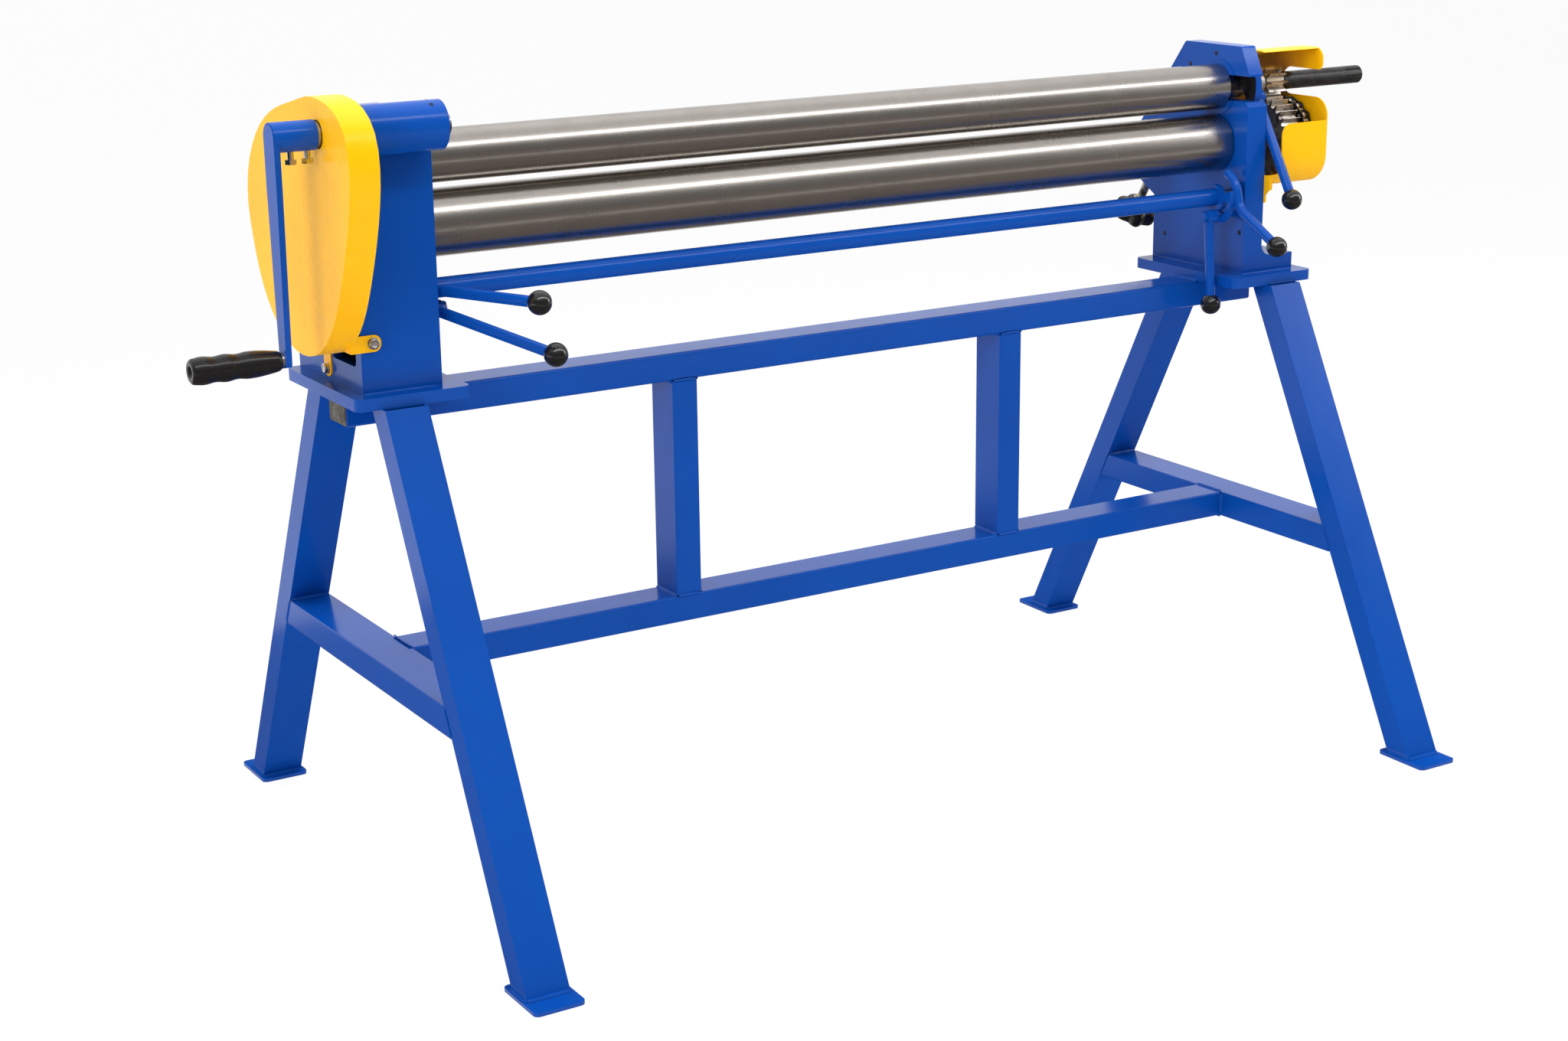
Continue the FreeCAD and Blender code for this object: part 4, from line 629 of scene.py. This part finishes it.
def hexPrism(vertices, faces, place, radius, depth):
    start = len(vertices)
    for z in (0.0, depth):
        for k in range(6):
            vertices.append(place @ roundPoint(radius, math.pi / 3 * k, z))
    faces.append(tuple(start + 6 + k for k in range(6)))
    for k in range(6):
        a = start + k
        b = start + (k + 1) % 6
        faces.append((a, b, b + 6, a + 6))


def screwProfile(radius, high):
    # domed rim and a shallow recess with the socket in its floor
    return [
        (-0.0002, radius * 0.96), (0.0004, radius), (high - 0.0011, radius), (high - 0.0004, radius * 0.96),
        (high, radius * 0.88), (high, radius * 0.52), (high - 0.0006, radius * 0.48),
        (high - 0.0006, tipRadius),
    ]


def makeGuardScrews():
    s = guardScrews
    washer = [(0.0, s["radius"]), (0.0, s["washerRadius"]), (s["washerHigh"] - 0.0003, s["washerRadius"]),
              (s["washerHigh"], s["washerRadius"] - 0.0004), (s["washerHigh"], s["radius"] - 0.0002)]
    heads = []
    vertices = []
    faces = []
    for point, direction in s["places"]:
        outward = Vector(direction)
        base = Vector(point) + Vector((midX, 0, 0)) - outward * s["sink"]
        heads.append((screwProfile(s["radius"], s["high"]), facing(base, outward), 40))
        # the socket is a flat dark hexagon on the recess floor: painted shade for its depth
        hexPrism(vertices, faces, facing(base + outward * s["socketAt"], outward), s["socketRadius"],
                 s["socketDepth"])
        heads.append((washer, facing(base - outward * 0.0002, outward), 40))
    newObject("guardScrewHeads", latheMesh("guardScrewHeads", heads), "stand", zincSteel)
    newObject("guardScrewSockets", meshFrom("guardScrewSockets", vertices, faces), "stand", paintedHoleShade,
              smooth=False)


makeGuardScrews()


# tapped holes: a thin countersunk ring round a flat dark bottom, which is painted shade standing in for the
# hole's depth

tappedHoles = {
    "framePlaces": ((-0.014, 1.044), (0.047, 1.023), (-0.082, 0.770), (0.098, 0.745)),  # Y and Z
    "frameX": 0.690, "radius": 0.0036, "sink": 0.0003, "lip": 0.0001, "leftTop": 1.0,
    "housingPlaces": ((-0.698, 60), (-0.790, 75)),  # X from midX, degrees up from the front
    "housingAxis": (-0.121, 1.046), "housingRadius": 0.0319, "oilerRadius": 0.0026, "oilerSink": 0.0004,
    "oilerLip": 0.0002, "crown": 0.00015, "floor": 0.00002,
}
rimParts = []
holeParts = []


def addTappedHole(point, outward, r, sink, lip):
    place = facing(point, outward)
    crown = lip + tappedHoles["crown"]
    floor = lip + tappedHoles["floor"]
    rimParts.append(([(-sink, r * 1.5), (lip, r * 1.42), (crown, r * 1.2), (lip, r), (-sink, r)], place, 32))
    holeParts.append(([(-sink, r * 1.02), (floor, r), (floor, tipRadius)], place, 32))


def addFrameHoles():
    # the left frame has no holes above leftTop
    s = tappedHoles
    for y, z in s["framePlaces"]:
        for sideX in (-1, 1):
            if sideX > 0 or z < s["leftTop"]:
                point = Vector((midX + sideX * s["frameX"], y, z))
                addTappedHole(point, Vector((-sideX, 0, 0)), s["radius"], s["sink"], s["lip"])


def addHousingHoles():
    s = tappedHoles
    for x, angle in s["housingPlaces"]:
        outward = Vector((0, -math.cos(math.radians(angle)), math.sin(math.radians(angle))))
        point = Vector((midX + x, *s["housingAxis"])) + outward * s["housingRadius"]
        addTappedHole(point, outward, s["oilerRadius"], s["oilerSink"], s["oilerLip"])


addFrameHoles()
addHousingHoles()
newObject("tappedHoleRims", latheMesh("tappedHoleRims", rimParts), "stand", bluePaint)
newObject("tappedHoles", latheMesh("tappedHoles", holeParts), "stand", paintedHoleShade)
print("screws and holes made")


# drive chain at the right end: side plates, rollers and pins

chain = {
    "x": 0.831, "lower": (-0.020, 0.9056), "rear": (0.1302345, 0.880),  # the two wheels' axes
    "pitch": 0.01905, "teeth": 18, "run": 8, "plateHigh": 0.0082, "waist": 0.0062, "plateSteps": 8,
    "innerPlate": (0.0049, 0.0065), "outerPlate": (0.0067, 0.0082), "edge": 0.0004,
    "roller": (0.0047, 0.00595, 0.92), "pin": (0.0090, 0.0026, 0.7),  # half length, radius, taper of the end
}
lowerPoint = Vector((midX + chain["x"], *chain["lower"]))
rearPoint = Vector((midX + chain["x"], *chain["rear"]))
pitchRadius = chain["pitch"] / 2 / math.sin(math.pi / chain["teeth"])
chainRun = (rearPoint - lowerPoint).normalized()
chainUp = Vector((1, 0, 0)).cross(chainRun)
straight = (rearPoint - lowerPoint).length


def aroundWheel(turn):
    return chainUp * (pitchRadius * math.cos(turn)) + chainRun * (pitchRadius * math.sin(turn))


def chainPoint(length):
    # a point on the pitch line, starting over the lower wheel and running to the rear one
    half = math.pi * pitchRadius
    if length < straight:
        return lowerPoint + chainRun * length + chainUp * pitchRadius
    length -= straight
    if length < half:
        return rearPoint + aroundWheel(length / pitchRadius)
    length -= half
    if length < straight:
        return rearPoint - chainRun * length - chainUp * pitchRadius
    return lowerPoint - aroundWheel((length - straight) / pitchRadius)


def linkOutline(run, length):
    # two round ends with a waist between them
    up = Vector((1, 0, 0)).cross(run)
    steps = chain["plateSteps"]
    outline = []
    for start, shift, waist in ((math.pi / 2, 0.0, -chain["waist"]), (-math.pi / 2, length, chain["waist"])):
        for k in range(steps + 1):
            turn = start + math.pi * k / steps
            outline.append(run * (shift + math.cos(turn) * chain["plateHigh"])
                           + up * (math.sin(turn) * chain["plateHigh"]))
        outline.append(run * (length / 2) + up * waist)
    return outline


def addLinkPlate(vertices, faces, first, second, x0, x1):
    outline = linkOutline((second - first).normalized(), (second - first).length)
    start = len(vertices)
    for x in (x0, x1):
        for offset in outline:
            vertices.append(first + offset + Vector((x, 0, 0)))
    count = len(outline)
    faces.append(tuple(start + k for k in range(count)))
    faces.append(tuple(start + count + count - 1 - k for k in range(count)))
    for k in range(count):
        a = start + k
        b = start + (k + 1) % count
        faces.append((a, a + count, b + count, b))


def barrelProfile(half, radius, taper):
    edge = chain["edge"]
    return [(-half, tipRadius), (-half, radius * taper), (-half + edge, radius), (half - edge, radius),
            (half, radius * taper), (half, tipRadius)]


def makeChain():
    count = 2 * chain["run"] + chain["teeth"]
    loop = 2 * (straight + math.pi * pitchRadius)
    pins = [chainPoint(loop * k / count) for k in range(count)]
    vertices = []
    faces = []
    turned = []
    for k, first in enumerate(pins):
        second = pins[(k + 1) % count]
        near, far = chain["innerPlate"] if k % 2 else chain["outerPlate"]
        addLinkPlate(vertices, faces, first, second, near, far)
        addLinkPlate(vertices, faces, first, second, -far, -near)
        place = facing(first, (1, 0, 0))
        turned.append((barrelProfile(*chain["roller"]), place, 20))
        turned.append((barrelProfile(*chain["pin"]), place, 16))
    plates = newObject("chainPlates", meshFrom("chainPlates", vertices, faces), "stand", blackSteel,
                       smooth=False, bevel=0.0003)
    rollers = newObject("chainRollers", latheMesh("chainRollers", turned), "stand", gearSteel)
    for piece in (plates, rollers):
        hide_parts("drive_chain")
    print("chain made:", count, "links")


makeChain()


# crank grip: smooth moulding with finger hollows and a bore in its free end

gripShape = {
    "neck": 0.0124, "shoulder": 0.0163, "tip": 0.0172, "swellAt": 0.36, "wave": 0.0008, "waveLength": 0.25,
    "bore": 0.0062, "boreDepth": 0.020, "boreFloor": 0.0004, "seam": 0.0002, "seamEnd": 0.95,
    "startRound": 0.03, "startRadius": 0.90, "endRound": 0.045, "endRadius": 0.80,
    "margin": 0.0002, "steps": 60, "segments": 64,
}


def gripRadius(t):
    # from the arm to the free end: a plain swell, then three finger hollows
    s = gripShape
    if t < s["swellAt"]:
        share = math.sin(t / s["swellAt"] * math.pi / 2)
        return s["neck"] + (s["shoulder"] + s["wave"] - s["neck"]) * share
    wave = math.cos(2 * math.pi * (t - s["swellAt"]) / s["waveLength"]) * s["wave"]
    return s["shoulder"] + (s["tip"] - s["shoulder"]) * (t - s["swellAt"]) / (1 - s["swellAt"]) + wave


def gripEdge(t):
    # share of the radius that is left where the two ends round off
    s = gripShape
    if t < s["startRound"]:
        return s["startRadius"] + (1 - s["startRadius"]) * math.sqrt(t / s["startRound"])
    past = max(0.0, t - (1 - s["endRound"])) / s["endRound"]
    return s["endRadius"] + (1 - s["endRadius"]) * math.sqrt(max(0.0, 1 - past ** 2))


def makeGrip():
    s = gripShape
    low, high = boxPoints("crank_grip")
    centre = (low + high) / 2
    limit = (high.z - low.z) / 2 - s["margin"]
    length = high.x - low.x
    profile = []
    for k in range(s["steps"] + 1):
        t = k / s["steps"]
        profile.append((t * length, min(gripRadius(t), limit) * gripEdge(t)))
    profile.append((length - 0.0001, s["bore"] * 1.30))
    profile.append((length - 0.0012, s["bore"]))
    profile.append((length - s["boreDepth"], s["bore"]))
    profile.append((length - s["boreDepth"], s["boreFloor"]))
    rings = []
    for along, radius in profile:
        ring = []
        for k in range(s["segments"]):
            angle = 2 * math.pi * k / s["segments"]
            # the mould's parting line stands a little proud on both sides
            onSeam = k % (s["segments"] // 2) == 0 and along < length * s["seamEnd"]
            r = radius + (s["seam"] if onSeam else 0.0)
            ring.append((high.x - along, centre.y + r * math.cos(angle), centre.z + r * math.sin(angle)))
        rings.append(ring)
    return ringMesh("crankGripBody", rings, False)


grip = newObject("crankGripBody", makeGrip(), "grip", gripPlastic)
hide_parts("crank_grip")
print("grip made")


# star knobs and threaded screws of the two adjusters

star = {
    "x": 0.70775, "axis": (0.1302345, 0.880), "slide": (-0.5, 0.8660254), "low": -0.1435, "high": -0.1105,
    "lobes": 6, "lobeDepth": 0.225, "segments": 96, "margin": 0.0003, "drawnHigh": 0.0302,
    # height, share of the radius, share of the lobes' depth
    "levels": (
        (0.0, 0.58, 0.0), (0.004, 0.60, 0.0), (0.0055, 0.66, 0.3), (0.0075, 0.88, 0.8),
        (0.0105, 0.97, 1.0), (0.014, 1.0, 1.0), (0.020, 1.0, 1.0), (0.0245, 0.975, 1.0),
        (0.0275, 0.91, 0.95), (0.0293, 0.80, 0.85), (0.0300, 0.62, 0.6), (0.0297, 0.40, 0.2),
        (0.0290, 0.36, 0.0), (0.0290, 0.01, 0.0),
    ),
}
screwThread = {
    "top": -0.030, "end": -0.103, "coreEnd": -0.1352, "crest": 0.0070, "root": 0.0060, "lead": 0.005,
    "starts": 2, "segments": 28, "flanks": (0.34, 0.58, 0.76), "step": 0.001, "tipTaper": 0.86,
    "nut": (-0.1102, -0.1042), "nutRadius": 0.0125,
}


def makeStar(place, height, radius):
    scale = height / star["drawnHigh"]
    rings = []
    for along, share, lobe in star["levels"]:
        ring = []
        for k in range(star["segments"]):
            turn = 2 * math.pi * k / star["segments"]
            hollow = radius * star["lobeDepth"] * lobe * (0.5 - 0.5 * math.cos(turn * star["lobes"]))
            ring.append(place @ roundPoint((radius - hollow) * share, turn, along * scale))
        rings.append(ring)
    return ringMesh("starKnobBody", rings, True)


def makeCore(name, place):
    s = screwThread
    profile = [
        (s["coreEnd"], tipRadius), (s["coreEnd"], s["crest"]), (s["end"] - s["step"], s["crest"]),
        (s["end"], s["root"]), (s["top"] - s["step"], s["root"]), (s["top"], s["root"] * s["tipTaper"]),
        (s["top"], tipRadius),
    ]
    return latheMesh(name, [(profile, place, 40)])


def makeThread(place):
    # two helical ridges around the core, each rising one lead per turn
    s = screwThread
    high = s["top"] - s["step"]
    pitch = s["lead"] / s["starts"]
    steps = int((high - s["end"] - pitch) / s["lead"] * s["segments"])
    rows = list(zip((0.0, *s["flanks"], 1.0), (s["root"], s["root"], s["crest"], s["crest"], s["root"])))
    vertices = []
    faces = []
    for first in range(s["starts"]):
        for step in range(steps + 1):
            turn = 2 * math.pi * (step / s["segments"] + first / s["starts"])
            base = s["end"] + s["lead"] * step / s["segments"]
            fade = min(1.0, step / s["segments"], (steps - step) / s["segments"])
            for share, radius in rows:
                r = s["root"] + (radius - s["root"]) * fade
                vertices.append(place @ roundPoint(r, turn, base + share * pitch))
            if step:
                b = len(vertices) - len(rows)
                a = b - len(rows)
                faces += [(a + k, b + k, b + k + 1, a + k + 1) for k in range(len(rows) - 1)]
    return vertices, faces


def makeNut(place):
    vertices = []
    faces = []
    hexPrism(vertices, faces, place, screwThread["nutRadius"], screwThread["nut"][1] - screwThread["nut"][0])
    faces.append(tuple(range(5, -1, -1)))
    return vertices, faces


for side, sign in (("left", -1), ("right", 1)):
    along = Vector((0, *star["slide"]))
    origin = Vector((midX + sign * star["x"], *star["axis"]))
    low, high = boxPoints("star_knob_" + side)
    radius = (high.x - low.x) / 2 - star["margin"]
    top = facing(origin + along * star["high"], -along)
    body = "adjuster_" + side
    knob = newObject("starKnob_" + side, makeStar(top, star["high"] - star["low"], radius), body, gripPlastic)
    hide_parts("star_knob_" + side)
    up = facing(origin, along)
    screw = newObject("adjustScrewCore_" + side, makeCore("screwCore_" + side, up), body, plainSteel)
    threadMesh = meshFrom("screwThread", *makeThread(up))
    thread = newObject("adjustScrewThread_" + side, threadMesh, body, plainSteel)
    nutMesh = meshFrom("lockNut_" + side, *makeNut(facing(origin + along * screwThread["nut"][0], along)))
    nut = newObject("lockNut_" + side, nutMesh, body, zincSteel, smooth=False, bevel=0.0006)
    for piece in (screw, thread, nut):
        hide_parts("adjust_screw_" + side)
print("adjusters made")


# floor and backdrop

room = {
    "front": 9.0, "halfWidth": 14.4, "back": 6.0, "high": 6.0, "bend": 1.6, "bendSteps": 12,
    "wallRadius": 8.9, "wallHigh": 9.0, "wallSides": 72,
    "tint": 0.92, "white": 0.92,  # white: the share that shows plain white to camera, metal and glass
}


def makeRoomMaterial():
    # pale matt surface that reads as pure white to the eye but still takes the machine's shadow
    material = bpy.data.materials.new("paleFloor")
    material.use_nodes = True
    tree = material.node_tree
    shader = tree.nodes["Principled BSDF"]
    shader.inputs["Base Color"].default_value = (room["tint"], room["tint"], room["tint"], 1)
    shader.inputs["Roughness"].default_value = 0.9
    shader.inputs["Specular IOR Level"].default_value = 0.1
    glow = tree.nodes.new("ShaderNodeEmission")
    glow.inputs["Color"].default_value = (1, 1, 1, 1)
    glow.inputs["Strength"].default_value = 1.0
    path = tree.nodes.new("ShaderNodeLightPath")
    seen = addMath(tree, "ADD", path.outputs["Is Camera Ray"], path.outputs["Is Glossy Ray"])
    seen = addMath(tree, "ADD", seen, path.outputs["Is Transmission Ray"])
    mix = tree.nodes.new("ShaderNodeMixShader")
    tree.links.new(addMath(tree, "MULTIPLY", seen, room["white"]), mix.inputs["Fac"])
    tree.links.new(shader.outputs["BSDF"], mix.inputs[1])
    tree.links.new(glow.outputs["Emission"], mix.inputs[2])
    tree.links.new(mix.outputs["Shader"], tree.nodes["Material Output"].inputs["Surface"])
    return material


def makeStrip(name, edges, half, material, gaps=()):
    # a wide sheet through (y, z) edges; the spans listed in gaps stay open
    vertices = [(x, *edge) for edge in edges for x in (-half, half)]
    spans = [k for k in range(len(edges) - 1) if k not in gaps]
    faces = [(2 * k, 2 * k + 1, 2 * k + 3, 2 * k + 2) for k in spans]
    return newObject(name, meshFrom(name, vertices, faces), None, material)


def makeSweep(material):
    foot = room["back"] - room["bend"]
    profile = [(-room["front"], 0.0), (foot, 0.0)]
    for k in range(1, room["bendSteps"] + 1):
        turn = math.pi / 2 * k / room["bendSteps"]
        profile.append((foot + room["bend"] * math.sin(turn), room["bend"] * (1 - math.cos(turn))))
    profile.append((room["back"], room["high"]))
    return makeStrip("studioSweep", profile, room["halfWidth"], material)


def makeRoundWall(material):
    vertices = []
    for k in range(room["wallSides"]):
        turn = 2 * math.pi * k / room["wallSides"]
        vertices += [roundPoint(room["wallRadius"], turn, z) for z in (0.0, room["wallHigh"])]
    count = len(vertices)
    faces = [(k, (k + 2) % count, (k + 3) % count, k + 1) for k in range(0, count, 2)]
    return newObject("studioWall", meshFrom("studioWall", vertices, faces), None, material)


floorMaterial = makeRoomMaterial()
sweep = makeSweep(floorMaterial)

# the wall closes the room behind the camera; only the camera sees it, so it throws no light on the machine
roundWall = makeRoundWall(floorMaterial)
roundWall.visible_diffuse = False
roundWall.visible_glossy = False
roundWall.visible_shadow = False


# world: dim low down in front, brighter overhead and to the rear

# direction's low and high end, then the strength at each
skyLight = {"upward": (0.36, 0.80, 0.24, 1.10), "rearward": (-0.1, 0.6, 0.0, 0.60)}


def makeWorld():
    world = bpy.data.worlds.new("studio")
    bpy.context.scene.world = world
    world.use_nodes = True
    tree = world.node_tree
    tree.nodes.clear()
    output = addNode(tree, "ShaderNodeOutputWorld")
    split = addNode(tree, "ShaderNodeSeparateXYZ")
    tree.links.new(addNode(tree, "ShaderNodeTexCoord").outputs["Generated"], split.inputs[0])
    upward = addRange(tree, split.outputs["Z"], *skyLight["upward"])
    rearward = addRange(tree, split.outputs["Y"], *skyLight["rearward"])
    surround = addNode(tree, "ShaderNodeBackground")
    tree.links.new(addMath(tree, "ADD", upward, rearward), surround.inputs["Strength"])
    tree.links.new(surround.outputs[0], output.inputs["Surface"])


makeWorld()

# a dark card lies low in front and gives the polished rolls their dark lower bands; the slit in it, its third
# span, draws a thin bright line along them
flag = {
    "half": 3.2, "edges": ((1.10, 0.012), (-0.80, 0.012), (-1.47, 0.330), (-1.59, 0.388), (-3.3, 1.20)),
    "slit": (2,), "colour": (0.115, 0.10, 0.088, 1), "roughness": 0.95,
}
flagCloth = bpy.data.materials.new("flagCloth")
flagCloth.use_nodes = True
clothShader = flagCloth.node_tree.nodes["Principled BSDF"]
clothShader.inputs["Base Color"].default_value = flag["colour"]
clothShader.inputs["Roughness"].default_value = flag["roughness"]
card = makeStrip("studioFlag", flag["edges"], flag["half"], flagCloth, flag["slit"])
card.visible_camera = False
card.visible_diffuse = False
card.visible_shadow = False


# lamps

lamps = {
    "overheadBox": {"at": (0.8, 0.3, 3.3), "toward": (0.8, 0, 0.8), "size": (6.4, 1.5), "power": 96.0,
                    "shines": False},
    "frontStrip": {"at": (0.8, -1.75, 2.9), "toward": (0.8, 0, 0.9), "size": (6.4, 0.34), "power": 46.0,
                   "shines": True},
    "frontLeftBox": {"at": (-4.3, -2.0, 2.2), "toward": (0, 0, 0.8), "size": (1.7, 1.7), "power": 62.0,
                     "shines": False},
    "rightFill": {"at": (3.6, -1.6, 1.8), "toward": (0.2, 0, 0.8), "size": (1.6, 1.6), "power": 26.0,
                  "shines": True},
}


def addLamp(name, settings):
    # a lamp that doesn't shine lights the machine without being mirrored in it
    data = bpy.data.lights.new(name, "AREA")
    data.shape = "RECTANGLE"
    data.size, data.size_y = settings["size"]
    data.energy = settings["power"]
    lamp = bpy.data.objects.new(name, data)
    bpy.context.scene.collection.objects.link(lamp)
    lamp.location = settings["at"]
    aim = Vector(settings["toward"]) - Vector(settings["at"])
    lamp.rotation_euler = aim.to_track_quat("-Z", "Y").to_euler()
    lamp.visible_glossy = settings["shines"]


for name, settings in lamps.items():
    addLamp(name, settings)
print("stage lit")


# camera

view = {
    "at": (-1.98641, -3.10354, 1.44032),
    "right": (0.85088831, -0.52521487, -0.01176562),
    "up": (0.15315905, 0.22658192, 0.9618747),
    "ahead": (0.50252502, 0.82024995, -0.27323732),
    "lens": 58.656,
    "sensor": 36.0,
    "clipEnd": 60.0,
}
cameraData = bpy.data.cameras.new("frontLeft")
cameraData.lens = view["lens"]
cameraData.sensor_width = view["sensor"]
cameraData.clip_end = view["clipEnd"]
camera = bpy.data.objects.new("frontLeft", cameraData)
bpy.context.scene.collection.objects.link(camera)
turnMatrix = Matrix((view["right"], view["up"], [-v for v in view["ahead"]])).transposed()
camera.matrix_world = Matrix.Translation(view["at"]) @ turnMatrix.to_4x4()
bpy.context.scene.camera = camera
bpy.context.scene.view_settings.view_transform = "Standard"

print("camera placed")
